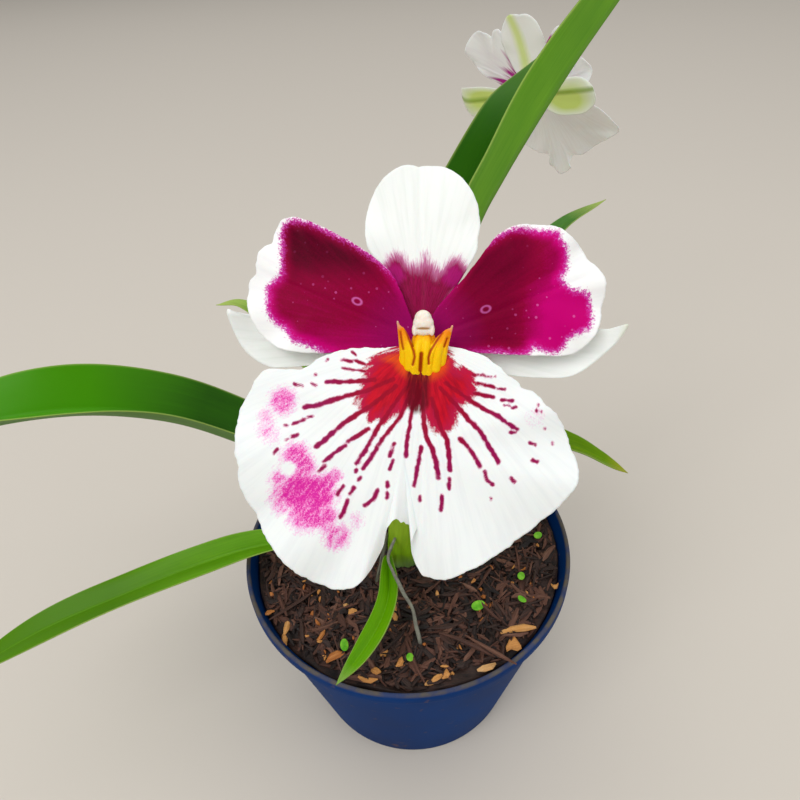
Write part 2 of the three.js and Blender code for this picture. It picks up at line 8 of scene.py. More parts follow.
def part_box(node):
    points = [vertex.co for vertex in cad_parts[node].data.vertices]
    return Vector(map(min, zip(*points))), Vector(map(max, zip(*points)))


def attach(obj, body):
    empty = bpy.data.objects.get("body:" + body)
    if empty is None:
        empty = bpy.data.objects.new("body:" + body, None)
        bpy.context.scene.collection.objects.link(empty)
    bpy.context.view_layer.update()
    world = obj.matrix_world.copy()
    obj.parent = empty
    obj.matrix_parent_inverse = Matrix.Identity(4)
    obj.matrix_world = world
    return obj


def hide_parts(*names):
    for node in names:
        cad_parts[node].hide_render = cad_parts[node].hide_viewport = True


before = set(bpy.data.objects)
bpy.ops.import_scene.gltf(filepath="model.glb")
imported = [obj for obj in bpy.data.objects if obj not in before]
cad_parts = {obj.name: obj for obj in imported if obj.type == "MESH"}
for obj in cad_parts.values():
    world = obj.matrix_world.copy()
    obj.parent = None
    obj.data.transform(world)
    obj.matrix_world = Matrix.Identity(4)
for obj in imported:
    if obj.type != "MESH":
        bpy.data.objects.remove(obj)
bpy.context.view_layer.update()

# Pot
# A thin nursery pot, shot in one piece from dark blue polypropylene: a plain tapered wall, a
# rim band that the grower lifts it by, a rounded foot and drain holes in the floor. It stands
# loose on the table and holds everything else.

MM = 0.001
pot_low, pot_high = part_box("pot")
RIM_RADIUS = (pot_high.x - pot_low.x) / 2 / MM
POT_HEIGHT = pot_high.z / MM
RIM_BAND = 4.5
NECK_RADIUS = 53.3
BASE_RADIUS = 39.5
WALL = 1.4
FOOT_ROUND = 1.5
POT_SIDES = 160
DRAIN_HOLES = 6
DRAIN_RADIUS = 4
DRAIN_CIRCLE = 26
DRILL_SIDES = 28

PP_NAVY = "#033878"
PP_DEEP = "#022a60"
RIM_WORN = "#5c564f"
SPLASHED_DIRT = "#6b5140"


def paint(hex_colour):
    """An sRGB hex colour as the linear values that a shader takes."""
    srgb = [int(hex_colour[at:at + 2], 16) / 255 for at in (1, 3, 5)]
    linear = [c / 12.92 if c <= 0.04045 else ((c + 0.055) / 1.055) ** 2.4 for c in srgb]
    return (*linear, 1.0)


def feed(node, *inputs, **named):
    """Gives a node's inputs, in order or by name, a value, a hex colour or another node."""
    waiting = list(zip([socket for socket in node.inputs if socket.enabled], inputs))
    waiting += [(node.inputs[name.replace("_", " ")], value) for name, value in named.items()]
    for socket, value in waiting:
        if isinstance(value, bpy.types.Node):
            value = next(output for output in value.outputs if output.enabled)
        if isinstance(value, bpy.types.NodeSocket):
            node.id_data.links.new(value, socket)
        else:
            socket.default_value = paint(value) if isinstance(value, str) else value


def new_finish(name, **surface):
    """A material, the function that adds a node to it, and its shader with plain values set."""
    finish = bpy.data.materials.new(name)
    finish.use_nodes = True
    shader = finish.node_tree.nodes["Principled BSDF"]
    feed(shader, **surface)

    def add(kind, *inputs, stops=(), **named):
        """Adds a node of a kind and mode. A name with a capital is an input, others a setting."""
        kind, _, mode = kind.partition(" ")
        made = finish.node_tree.nodes.new("ShaderNode" + kind)
        if mode:
            setattr(made, "data_type" if kind == "Mix" else "operation", mode)
        for setting in [name for name in named if name.islower()]:
            setattr(made, setting, named.pop(setting))
        for number, (place, colour) in enumerate(stops):
            ramp = made.color_ramp.elements
            stop = ramp[number] if number < len(ramp) else ramp.new(1.0)
            stop.position = place
            stop.color = paint(colour)
        feed(made, *inputs, **named)
        return made

    return finish, add, shader


def new_piece(name, points, faces, finish, nodes=(), slot=None, marks=None, smooth=True):
    """A mesh piece from points in mm. marks holds a value or a vector for each point."""
    mesh = bpy.data.meshes.new(name)
    mesh.from_pydata((np.asarray(points, float) * MM).tolist(), [], faces)
    mesh.validate()
    for mark, values in (marks or {}).items():
        values = np.asarray(values, float)
        kind, field = ("FLOAT", "value") if values.ndim == 1 else ("FLOAT_VECTOR", "vector")
        mesh.attributes.new(mark, kind, "POINT").data.foreach_set(field, values.ravel())
    mesh.polygons.foreach_set("use_smooth", [smooth] * len(mesh.polygons))
    mesh.materials.append(finish)
    made = bpy.data.objects.new(name, mesh)
    bpy.context.scene.collection.objects.link(made)
    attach(made, "root")
    if nodes:
        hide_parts(*nodes)
    return made


def settle(piece):
    """Applies the piece's modifiers to its mesh."""
    shaped = piece.evaluated_get(bpy.context.evaluated_depsgraph_get())
    mesh = bpy.data.meshes.new_from_object(shaped)
    piece.modifiers.clear()
    piece.data = mesh


def moulded_polypropylene():
    """Satin blue plastic: faint flow mottling, a fine grain, scuffs on the rim and specks of dirt.
    """
    finish, add, shader = new_finish("polypropylene_injection_moulded", IOR=1.49,
                                     Specular_IOR_Level=0.05)
    place = add("TexCoord").outputs["Object"]
    height = add("SeparateXYZ", place).outputs["Z"]
    flow = add("TexNoise", place, Scale=28.0, Detail=4.0)
    grain = add("TexNoise", place, Scale=1600.0, Detail=2.0)
    splash = add("TexNoise", place, Scale=210.0, Detail=3.0)
    body = add("ValToRGB", flow, stops=[(0.3, PP_DEEP), (0.7, PP_NAVY)])
    rim = add("MapRange", height, (POT_HEIGHT - 0.9) * MM, (POT_HEIGHT - 0.2) * MM)
    rubbed = add("MapRange", splash, 0.35, 0.6, 0.35)
    wear = add("Math MULTIPLY", rim, rubbed)
    worn = add("Mix RGBA", wear, body, RIM_WORN)
    specks = add("MapRange", splash, 0.66, 0.74, To_Max=0.5)
    dirty = add("Mix RGBA", specks, worn, SPLASHED_DIRT)
    matt = add("MapRange", flow, To_Min=0.5, To_Max=0.68)
    skin = add("Bump", Height=grain, Strength=0.12, Distance=0.02 * MM)
    feed(shader, Base_Color=dirty, Roughness=matt, Normal=skin)
    return finish


def wall_radius(height):
    return BASE_RADIUS + (NECK_RADIUS - BASE_RADIUS) * height / (POT_HEIGHT - RIM_BAND)


def turned(profile, sides):
    """The points and faces of a closed profile of (radius, height) turned round the Z axis."""
    turn = 2 * np.pi * np.arange(sides) / sides
    points = []
    faces = []
    rows = []
    for radius, height in profile:
        start = len(points)
        if radius == 0:
            points.append((0, 0, height))
            rows.append([start] * sides)
        else:
            points += [(radius * math.cos(a), radius * math.sin(a), height) for a in turn]
            rows.append(list(range(start, start + sides)))
    for row, above in zip(rows, rows[1:]):
        for i in range(sides):
            j = (i + 1) % sides
            faces.append(list(dict.fromkeys([row[i], row[j], above[j], above[i]])))
    return points, faces


def tube_faces(rings, sides):
    """The faces of a body of rings of points: its two ends, then the sides between the rings."""
    faces = [list(reversed(range(sides))), [(rings - 1) * sides + side for side in range(sides)]]
    for low in range(0, (rings - 1) * sides, sides):
        for side in range(sides):
            beside = (side + 1) % sides
            faces.append([low + side, low + beside, low + sides + beside, low + sides + side])
    return faces


def joined(bodies):
    """The points and faces of several bodies as those of one."""
    points = []
    faces = []
    for more_points, more_faces in bodies:
        faces += [[corner + len(points) for corner in face] for face in more_faces]
        points += list(more_points)
    return points, faces


neck = POT_HEIGHT - RIM_BAND
foot_turn = [math.radians(d) for d in (0, 22, 45, 67, 90)]
pot_profile = [(0, 0)]
pot_profile += [
    (wall_radius(FOOT_ROUND) - FOOT_ROUND * (1 - math.sin(a)), FOOT_ROUND * (1 - math.cos(a)))
    for a in foot_turn
]
pot_profile += [(wall_radius(h), h) for h in np.linspace(6, neck - 2, 9)]
pot_profile += [
    (NECK_RADIUS - 0.2, neck - 0.5), (NECK_RADIUS, neck - 0.1), (RIM_RADIUS - 0.8, neck),
    (RIM_RADIUS - 0.2, neck + 0.25), (RIM_RADIUS, neck + 0.8), (RIM_RADIUS, POT_HEIGHT - 0.9),
    (RIM_RADIUS - 0.15, POT_HEIGHT - 0.35), (RIM_RADIUS - 0.5, POT_HEIGHT - 0.05),
    (RIM_RADIUS - 0.9, POT_HEIGHT), (RIM_RADIUS - 1.25, POT_HEIGHT - 0.12),
    (RIM_RADIUS - WALL, POT_HEIGHT - 0.5), (NECK_RADIUS - WALL + 0.15, neck + 0.2),
    (NECK_RADIUS - WALL, neck - 1),
]
pot_profile += [(wall_radius(h) - WALL, h) for h in np.linspace(neck - 6, WALL + FOOT_ROUND, 8)]
pot_profile += [(wall_radius(WALL) - WALL - FOOT_ROUND, WALL), (0, WALL)]
pot = new_piece("nursery_pot", *turned(pot_profile, POT_SIDES), moulded_polypropylene(),
                nodes=["pot"], slot="pot_plastic")
bit, bit_faces = turned([(0, -WALL), (DRAIN_RADIUS, -WALL), (DRAIN_RADIUS, 3 * WALL),
                         (0, 3 * WALL)], DRILL_SIDES)
bits = []
for angle in 2 * np.pi * np.arange(DRAIN_HOLES) / DRAIN_HOLES:
    place = (DRAIN_CIRCLE * math.cos(angle), DRAIN_CIRCLE * math.sin(angle), 0)
    bits.append((np.array(bit) + place, bit_faces))
drill = new_piece("drain_drill", *joined(bits), pot.data.materials[0])
drilling = pot.modifiers.new("drain_holes", "BOOLEAN")
drilling.operation = "DIFFERENCE"
drilling.object = drill
settle(pot)
bpy.data.objects.remove(drill)

# Potting mix
# Composted bark, shredded and damp, that fills the pot to just under its rim. A lumpy bed
# carries loose shreds that lie every way, with paler chips of fresh bark among them.

MIX_LEVEL = 70.8
MIX_BUMP = 0.9
MIX_EDGE = wall_radius(MIX_LEVEL) - WALL - 0.5
BED_RINGS = 70
BED_SIDES = 150
BED_CRUMBS = 0.9
CRUMBS_PER_MM = 0.35
BED_SUNK = 0.6
SHRED_COUNT = 4200
SHRED_LENGTH = (3, 13)
SHRED_WIDTH = (0.6, 2.2)
SHRED_THICKNESS = (0.35, 1.1)
SHRED_SECTION = 6
SHRED_STATIONS = (-0.5, -0.18, 0.2, 0.5)
SHRED_TAPER = (0.4, 0.95, 1.0, 0.35)
SHRED_LIE = (-0.5, 1.3)
PALE_CHIPS = [
    (-44.4, -25, 3, 2, 20, 0.2), (-20.4, -24.1, 1.7, 1.4, 0, 0.9), (-18.4, -26, 3, 2.2, 30, 0.6),
    (-38.5, -29.4, 6, 2, 80, 0.7), (-38.9, -33.4, 6, 2.2, 95, 0.6), (-27.2, -34.3, 4, 1.6, 60, 0.2),
    (-22.9, -40.6, 6, 2.5, 25, 0.1), (-8.1, -40.1, 3, 2.2, 10, 0.6),
    (-3.7, -43.1, 3.5, 2.4, 60, 0.5), (-10.7, -45.8, 3, 2.2, -20, 0.5),
    (-13, -48.6, 6, 1.5, -15, 0.5), (-4.8, -26.8, 6, 2.5, 85, 0.6), (6.8, -48.6, 3.5, 2.2, 30, 0.6),
    (4.4, -49.6, 2.5, 1.8, 0, 0.7), (9.4, -47.9, 3, 2, 60, 0.5), (32.4, -34.9, 11, 3, 5, 0.7),
    (30.1, -39.6, 4.5, 4, 0, 0.5), (21.4, -46.2, 6, 2.5, 20, 0.95), (46.9, -20.6, 2.5, 2, 0, 0.6),
    (49, 10, 4, 2.5, 70, 0.4), (-12, 34, 6, 2.5, 40, 0.5), (18, 41, 5, 3, 10, 0.6),
    (-31, 22, 4, 2, 120, 0.3), (-46, 6, 6, 2.4, 80, 0.5), (37, 30, 7, 3, 150, 0.5),
    (-24, 42, 4, 2.5, 0, 0.2), (3, 47, 5, 2, 170, 0.7), (44, 17, 4, 3, 60, 0.5),
    (-38, -8, 5, 2, 30, 0.3)]
CRUMB_COUNT = 150
LONG_SHREDS = [
    ((20.7, -23.9, 74), (27.3, -32.9, 73.6)), ((8.7, -35.2, 73.8), (24.1, -43.9, 74.3)),
    ((16, -36.5, 73.4), (29.2, -48.1, 77)), ((17.5, -19, 73.8), (21.5, -21.6, 73.4)),
    ((-2, -37, 73), (3, -50.5, 73.5)), ((-30, -18, 73), (-44, -28, 73)),
]
LONG_TONES = [0.55, 0.5, 0.75, 0.9, 0.6, 0.45]
DAMP_BLACK = "#18100f"
DAMP_BROWN = "#3a2822"
RED_BROWN = "#5c3a2e"
DRY_BROWN = "#7c5a4a"
FRESH_TAN = "#cf9350"
FRESH_ORANGE = "#aa642a"
FRESH_PITH = "#d9b483"


def mix_height(x, y):
    """How high the bed's lumpy surface lies at a place, in mm."""
    lumps = np.sin(0.23 * x + 1.3) * np.cos(0.19 * y) + 0.6 * np.sin(0.41 * y + 0.33 * x)
    return MIX_LEVEL + MIX_BUMP * lumps


def shredded_bark(name, shades, matt):
    """Torn wood fibre: its streaks run along each shred, and it is matt where dry."""
    finish, add, shader = new_finish(name, IOR=1.5, Specular_IOR_Level=0.35)
    tone = add("Attribute", attribute_name="shred_tone").outputs["Fac"]
    along = add("Attribute", attribute_name="grain_mm").outputs["Vector"]
    stretch = add("Mapping", along, Scale=(0.25, 3.2, 3.2))
    fibre = add("TexNoise", stretch, Scale=1.0, Detail=5.0, Roughness=0.65)
    shade = add("Math MULTIPLY_ADD", fibre, 0.9, tone)
    centred = add("Math SUBTRACT", shade, 0.45)
    places = np.linspace(0.05, 0.95, len(shades))
    colour = add("ValToRGB", centred,
                 stops=[(float(at), shade) for at, shade in zip(places, shades)])
    rough = add("MapRange", centred, To_Min=matt - 0.25, To_Max=matt)
    torn = add("Bump", Height=fibre, Strength=0.7, Distance=0.25 * MM)
    feed(shader, Base_Color=colour, Roughness=rough, Normal=torn)
    return finish


damp_bark = shredded_bark("composted_bark_damp", [DAMP_BLACK, DAMP_BROWN, RED_BROWN, DRY_BROWN],
                          0.85)
fresh_bark = shredded_bark("pine_bark_fresh_chips", [FRESH_ORANGE, FRESH_TAN, FRESH_PITH], 0.8)

bed_points = [(0, 0, float(mix_height(0, 0)))]
for ring in range(1, BED_RINGS + 1):
    for side in range(BED_SIDES):
        angle = 2 * math.pi * side / BED_SIDES
        reach = MIX_EDGE * ring / BED_RINGS
        x, y = reach * math.cos(angle), reach * math.sin(angle)
        crumb = noise.fractal(Vector((x, y, 3)) * CRUMBS_PER_MM, 0.8, 2.2, 5)
        bed_points.append((x, y, float(mix_height(x, y)) + BED_CRUMBS * crumb - BED_SUNK))
for radius, height in [(wall_radius(6) - WALL - 0.5, 6), (wall_radius(2) - WALL - 2, 2)]:
    for side in range(BED_SIDES):
        angle = 2 * math.pi * side / BED_SIDES
        bed_points.append((radius * math.cos(angle), radius * math.sin(angle), height))
bed_faces = []
for side in range(BED_SIDES):
    beside = (side + 1) % BED_SIDES
    bed_faces.append([0, 1 + side, 1 + beside])
    for ring in range(BED_RINGS + 1):
        inner = 1 + ring * BED_SIDES
        outer = inner + BED_SIDES
        bed_faces.append([inner + side, outer + side, outer + beside, inner + beside])
last_ring = 1 + (BED_RINGS + 1) * BED_SIDES
bed_faces.append([last_ring + side for side in reversed(range(BED_SIDES))])
bed_tone = [0.35 * noise.noise(Vector(p) * 0.3) + 0.25 for p in bed_points]
new_piece("bark_bed", bed_points, bed_faces, damp_bark, nodes=["potting_mix"], slot="bark_mix",
          marks={"shred_tone": bed_tone, "grain_mm": np.array(bed_points) * 0.6})


def shred_pile(name, places, sizes, tones, finish, seed):
    """Loose shreds as one piece: flat tapered slivers, bent a little and lying in the bed."""
    draw = np.random.default_rng(seed)
    count = len(places)
    stations = np.array(SHRED_STATIONS)
    around = 2 * np.pi * np.arange(SHRED_SECTION) / SHRED_SECTION
    taper = np.array(SHRED_TAPER) * draw.uniform(0.75, 1.15, (count, 4))
    jitter = draw.uniform(0.72, 1.2, (count, 4, SHRED_SECTION))
    sway = draw.normal(0, 1, (count, 2, 1)) * (stations ** 2 - 0.08)
    length, width, thick = np.array(sizes).T
    u = stations[None, :, None] * length[:, None, None] * np.ones((count, 4, SHRED_SECTION))
    v = np.cos(around) * taper[..., None] * jitter * width[:, None, None] / 2
    w = np.sin(around) * taper[..., None] * jitter * thick[:, None, None] / 2
    v = v + (sway[:, 0] * width[:, None] * 1.1)[..., None]
    w = w + (sway[:, 1] * thick[:, None] * 0.9)[..., None]
    local = np.stack([u, v, w], -1)
    sliver = [face[::-1] for face in tube_faces(4, SHRED_SECTION)]
    shreds = []
    for shred, (x, y, z, yaw, pitch, roll) in zip(local, places):
        turn = np.array(Euler((roll, pitch, yaw)).to_matrix())
        shreds.append(((shred @ turn.T + (x, y, z)).reshape(-1, 3), sliver))
    offsets = draw.uniform(0, 400, (count, 1, 1, 3))
    marks = {"shred_tone": np.repeat(tones, 4 * SHRED_SECTION),
             "grain_mm": (local + offsets).reshape(-1, 3)}
    new_piece(name, *joined(shreds), finish, slot="bark_mix", marks=marks, smooth=False)


draw = np.random.default_rng(41)
shred_places = []
shred_sizes = []
while len(shred_places) < SHRED_COUNT:
    length = SHRED_LENGTH[0] + (SHRED_LENGTH[1] - SHRED_LENGTH[0]) * draw.random() ** 1.8
    width = draw.uniform(*SHRED_WIDTH)
    thick = draw.uniform(*SHRED_THICKNESS)
    reach = MIX_EDGE * math.sqrt(draw.random())
    angle, yaw = draw.uniform(0, 2 * math.pi, 2)
    x, y = reach * math.cos(angle), reach * math.sin(angle)
    half = np.array([math.cos(yaw), math.sin(yaw)]) * length / 2
    ends = [np.hypot(x + side * half[0], y + side * half[1]) for side in (-1, 1)]
    if max(ends) < MIX_EDGE - 0.4:
        lie = float(mix_height(x, y)) + draw.uniform(*SHRED_LIE)
        shred_places.append((x, y, lie, yaw, draw.normal(0, 0.13), draw.normal(0, 0.5)))
        shred_sizes.append((length, width, thick))
shred_pile("bark_shreds", shred_places, shred_sizes, draw.uniform(0, 0.85, SHRED_COUNT) ** 1.2,
           damp_bark, 7)

chip_places = [(x, y, float(mix_height(x, y)) + draw.uniform(1.0, 1.6), math.radians(yaw),
                draw.normal(0, 0.1), draw.normal(0, 0.2)) for x, y, _, _, yaw, _ in PALE_CHIPS]
chip_sizes = [(length, width, draw.uniform(0.9, 1.6)) for _, _, length, width, _, _ in PALE_CHIPS]
chip_tones = [tone * 0.75 for *_, tone in PALE_CHIPS]
for _ in range(CRUMB_COUNT):
    reach = (MIX_EDGE - 2) * math.sqrt(draw.random())
    angle = draw.uniform(0, 2 * math.pi)
    x, y = reach * math.cos(angle), reach * math.sin(angle)
    chip_places.append((x, y, float(mix_height(x, y)) + draw.uniform(0.7, 1.7),
                        draw.uniform(0, 6.3), draw.normal(0, 0.4), draw.normal(0, 0.5)))
    chip_sizes.append((draw.uniform(0.8, 2.4), draw.uniform(0.6, 1.3), draw.uniform(0.5, 1.0)))
    chip_tones.append(draw.uniform(-0.25, 0.5))
shred_pile("pale_bark_chips", chip_places, chip_sizes, chip_tones, fresh_bark, 8)

long_places = []
long_sizes = []
for start, end in LONG_SHREDS:
    step = Vector(end) - Vector(start)
    middle = (Vector(end) + Vector(start)) / 2
    slope = -math.asin(step.z / step.length)
    long_places.append((*middle, math.atan2(step.y, step.x), slope, 0.3))
    long_sizes.append((step.length, 1.3, 0.9))
shred_pile("long_bark_strands", long_places, long_sizes, LONG_TONES, damp_bark, 9)

# Pseudobulbs
# Two flattened water stores of firm green tissue, rooted in the bark. Each carries a growth of
# leaves. Their skin is waxy and ribbed, and grey-green low down where an old sheath clings.

BULBS = {
    "front_pseudobulb": {"centre": (-1, -6, 60), "radii": (6, 4.5), "height": 43},
    "rear_pseudobulb": {"centre": (5, 9.5, 60), "radii": (8, 5.5), "height": 48},
}
BULB_PROFILE = [(0, 0), (0.7, 0), (0.95, 0.1), (1, 0.3), (0.93, 0.5), (0.72, 0.75), (0.42, 0.92),
                (0, 1)]
BULB_STATIONS = 44
BULB_SIDES = 56
BULB_RIBS = 9
RIB_DEPTH = 0.035
# Partly painted light: the bulb's bright green is lighter than its own, standing for light that
# reaches it through the lip.
BULB_BRIGHT = "#97cc1a"
BULB_PALE = "#b4d63e"
BULB_SHEATHED = "#7d9c5c"


def along_line(points, count):
    """Points at even steps of length along a smooth line through the given ones."""
    near = np.array(points, float)
    near = np.vstack([2 * near[0] - near[1], near, 2 * near[-1] - near[-2]])
    t = np.linspace(0, 1, 60, endpoint=False)[:, None]
    dense = []
    for i in range(1, len(near) - 2):
        a, b, c, d = near[i - 1:i + 3]
        bend = (a - 2.5 * b + 2 * c - 0.5 * d) * t ** 2
        twist = (1.5 * (b - c) + 0.5 * (d - a)) * t ** 3
        dense.append(b + 0.5 * (c - a) * t + bend + twist)
    dense = np.vstack([*dense, near[-2]])
    steps = np.linalg.norm(np.diff(dense, axis=0), axis=1)
    length = np.concatenate([[0], np.cumsum(steps)])
    wanted = np.linspace(0, length[-1], count)
    return np.stack([np.interp(wanted, length, column) for column in dense.T], 1)


def waxy_bulb_skin():
    """Living skin: bright green above, partly painted light, greyer in its old sheath, finely
    ribbed and waxy.
    """
    finish, add, shader = new_finish("pseudobulb_waxy_skin", IOR=1.42, Subsurface_Weight=0.15,
                                     Subsurface_Scale=1.5 * MM)
    place = add("TexCoord").outputs["Object"]
    up = add("Attribute", attribute_name="up_share").outputs["Fac"]
    streaked = add("Mapping", place, Scale=(900, 900, 60))
    streak = add("TexNoise", streaked, Scale=1.0, Detail=4.0)
    mottle = add("TexNoise", place, Scale=180.0, Detail=3.0)
    wander = add("Math MULTIPLY_ADD", mottle, 0.25, up)
    green = add("ValToRGB", wander,
                stops=[(0.3, BULB_SHEATHED), (0.4, BULB_SHEATHED), (0.56, BULB_BRIGHT),
                       (1.0, BULB_PALE)])
    deeper = add("MapRange", streak, 0.3, 0.7, 0.72)
    shaded = add("Mix RGBA", 1.0, green, deeper, blend_type="MULTIPLY")
    ribs = add("Bump", Height=streak, Strength=0.35, Distance=0.12 * MM)
    gloss = add("MapRange", mottle, To_Min=0.3, To_Max=0.55)
    feed(shader, Base_Color=shaded, Roughness=gloss, Normal=ribs)
    return finish


bulb_skin = waxy_bulb_skin()
for name, bulb in BULBS.items():
    profile = along_line(BULB_PROFILE, BULB_STATIONS)
    profile[0, 0] = profile[-1, 0] = 0
    points, faces = turned([tuple(p) for p in profile], BULB_SIDES)
    shape = np.array(points)
    turn = np.arctan2(shape[:, 1], shape[:, 0])
    fade = np.clip(np.hypot(shape[:, 0], shape[:, 1]), 0, 1)
    ribbed = 1 + RIB_DEPTH * np.cos(BULB_RIBS * turn) * fade - RIB_DEPTH
    marks = {"up_share": shape[:, 2].copy()}
    shape *= (*bulb["radii"], bulb["height"])
    shape[:, :2] *= ribbed[:, None]
    new_piece(name + "_skin", shape + bulb["centre"], faces, bulb_skin, nodes=[name],
              slot="pseudobulb", marks=marks)

# Leaves
# Long straps of glossy green tissue, folded along the keel where they leave the bulb and opening
# towards the tip. The inner face is dark and shiny, the outer one paler and duller, and fine
# veins run the whole length. On the top leaf that dark and pale are partly painted shade and
# painted light, and on the three big leaves the inner face is painted lighter or darker along
# its length for the light that falls on it.

LEAF_THICKNESS = 0.8
LEAF_MARGIN = 0.35
LEAF_STATIONS = 96
LEAF_ACROSS = 21
LEAF_OPEN_BY = 0.36
LEAF_CLOSE_FROM = 0.6
LEAF_TAPER = 2.2
LEAF_TIP = 0.015
LEAF_CURL = 0.08
MARGIN_WAVE = 0.45
WAVE_LENGTH = 9
LEAF_DARK = "#265c08"
LEAF_MID = "#3f7f0c"
LEAF_UNDER = "#679a2c"
LEAF_PALE = "#a9bd63"
LEAF_OUTER = ("#5f8f2a", "#7da845")
FOLD_LIFTS = (60, 35, 20)
# A leaf's turn is painted light and shade: two shares along the leaf and a colour that the inner
# face is painted towards between them. It is lighter on the top and upper left leaves, where more
# light falls, and a darker mid-tone between the lit and the shaded half on the lower left leaf. The
# top leaf's dark inner and light outer colours are partly its own faces, partly painted shade and
# painted light.
LEAVES = {
    "top_leaf": {
        "keel": [(5.6, 9.6, 108.6), (10.5, 11.5, 143), (22, 20, 174), (30.3, 27.4, 187),
                 (48.6, 45.9, 207), (64.6, 60.9, 222.3), (80, 78, 235), (92, 98, 240)],
        "half_width": 16, "opening": (-0.84, 0.34, 0.42),
        "lifts": [(70, 76, 84, 90, 93, 95, 97, 66, 40, 28, 20, 15, 15),
                  (30, 31, 30, 28, 26, 25, 30, 28, 26, 28, 30, 22, 15)],
        "inner": (LEAF_DARK, "#2c6400"), "outer": ("#5a9a1c", "#76b22c"),
        "turn": (0.5, 0.68, "#45760c"),
    },
    "left_upper_leaf": {
        "keel": [(-5.2, 9.5, 80), (-18, 6, 94.6), (-33.4, 5.7, 104.2), (-53.7, 10.2, 114.6),
                 (-73.8, 10.3, 124.3), (-97.8, 5, 132), (-125, -3, 133), (-150, -12, 124)],
        "half_width": 16.5, "opening": (0.2, 0.63, 0.77), "base": 0.16,
        "lifts": [(24, 22, 17, 10, 5, 8, 15), (60, 60, 55, 74, 90, 80, 50)],
        "inner": ("#1c4a00", "#285f00"), "outer": ("#4a7426", "#5f8f33"),
        "turn": (0.44, 0.62, "#479400"),
    },
    "left_lower_leaf": {
        "keel": [(-7.8, -6, 78), (-22, -6.3, 84.6), (-45.8, -8.6, 84.8), (-64.8, -12.7, 82.9),
                 (-87.5, -20.2, 79.9), (-115, -29, 74), (-146, -40, 62)],
        "half_width": 6.4, "opening": (0, -0.15, 1), "lifts": [(50, 35, 25, 20)] * 2,
        "inner": ("#558f0c", "#70ab18"),
        "turn": (0.35, 0.6, "#4a7a0c"),
    },
    "front_leaf": {
        "keel": [(-5.8, -10.8, 76), (-6.4, -15.5, 82.5), (-6.1, -27.3, 83.8), (-8.6, -35.9, 82.8),
                 (-13.9, -45.2, 82.4), (-21, -53.2, 80.4)],
        "half_width": 3.6, "opening": (0, -0.3, 1), "inner": ("#4d8a00", "#68a400"),
        "tip": "#7f9f48",
    },
    "right_leaf": {
        "keel": [(14.6, 9, 84), (27, 13, 99), (41, 15.4, 105), (57.4, 14.7, 99.4),
                 (67.7, 14, 93.8), (77.8, 12.3, 88.4)],
        "half_width": 6, "opening": (0, 0, 1), "inner": ("#588500", "#769c06"),
        "tip": "#a5a52e",
    },
    "back_right_leaf": {
        "keel": [(9.6, 15.5, 84), (28, 40, 118), (48, 65, 141), (63.6, 80.8, 150), (82, 92, 155)],
        "half_width": 5, "opening": (-0.3, -0.3, 1),
        "inner": ("#3f7026", "#55893a"), "outer": ("#5f8f3a", "#7da852"), "tip": LEAF_PALE,
    },
    "back_left_leaf": {
        "keel": [(0.4, 15.5, 82), (-20, 35, 107), (-43, 56, 125), (-57.7, 68.7, 130),
                 (-68.5, 71, 129.5)],
        "half_width": 5, "opening": (0.3, -0.3, 1),
        "inner": ("#5c8a2c", "#86a63f"), "outer": ("#6f9440", "#8cab55"), "tip": LEAF_PALE,
    },
}


def smooth_step(value):
    """Eases from 0 to 1 as value does, and stays there beyond."""
    t = np.clip(value, 0, 1)
    return t * t * (3 - 2 * t)


def unit(vectors):
    return vectors / np.linalg.norm(vectors, axis=-1, keepdims=True)


def leaf_tissue(name, inner, outer, tip, turn):
    """Waxy cuticle over green tissue: shiny inside the fold, dull outside, veined lengthwise,
    with painted light and shade along the inner face where a turn is given.
    """
    finish, add, shader = new_finish(name + "_waxy_cuticle", IOR=1.42, Specular_IOR_Level=0.12,
                                     Subsurface_Weight=0.04, Subsurface_Scale=0.8 * MM)
    spot, share = (add("Attribute", attribute_name=mark).outputs["Vector"]
                   for mark in ("leaf_mm", "leaf_share"))
    across = add("SeparateXYZ", share)
    veined = add("Mapping", spot, Scale=(2.1, 0.03, 1))
    vein = add("TexNoise", veined, Scale=1.0, Detail=3.0, Roughness=0.6)
    blotched = add("Mapping", spot, Scale=(0.16, 0.05, 1))
    blotch = add("TexNoise", blotched, Scale=1.0, Detail=3.0)
    mixed = add("Math ADD", vein, blotch)
    depth = add("MapRange", mixed, 0.6, 1.4)
    shiny = add("Mix RGBA", depth, *inner)
    dull = add("Mix RGBA", depth, *outer)
    # Painted light and shade: between the turn's two shares the inner face is painted towards the
    # turn colour.
    if turn:
        painted_shading_along = add("MapRange", across.outputs["Y"], turn[0], turn[1], To_Max=0.9)
        shiny = add("Mix RGBA", painted_shading_along, shiny, turn[2])
    inside = add("MapRange", across.outputs["Z"], -0.2, 0.2)
    skin = add("Mix RGBA", inside, dull, shiny)
    off_keel = add("Math ABSOLUTE", across.outputs["X"])
    keel = add("MapRange", off_keel, 0.0, 0.07, 0.45, 0.0)
    edge = add("MapRange", off_keel, 0.95, 0.998, To_Max=0.5)
    wilt = add("Math MULTIPLY_ADD", blotch, 0.08, across.outputs["Y"])
    ageing = add("MapRange", wilt, 0.9, 1.03)
    for cover, colour in ((keel, LEAF_UNDER), (edge, LEAF_PALE), (ageing, tip)):
        skin = add("Mix RGBA", cover, skin, colour)
    shine = add("MapRange", across.outputs["Z"], -0.2, 0.2, 0.5, 0.3)
    polish = add("Math MULTIPLY_ADD", blotch, 0.14, shine)
    raised = add("Bump", Height=vein, Strength=0.2, Distance=0.12 * MM)
    feed(shader, Base_Color=skin, Roughness=polish, Normal=raised)
    return finish


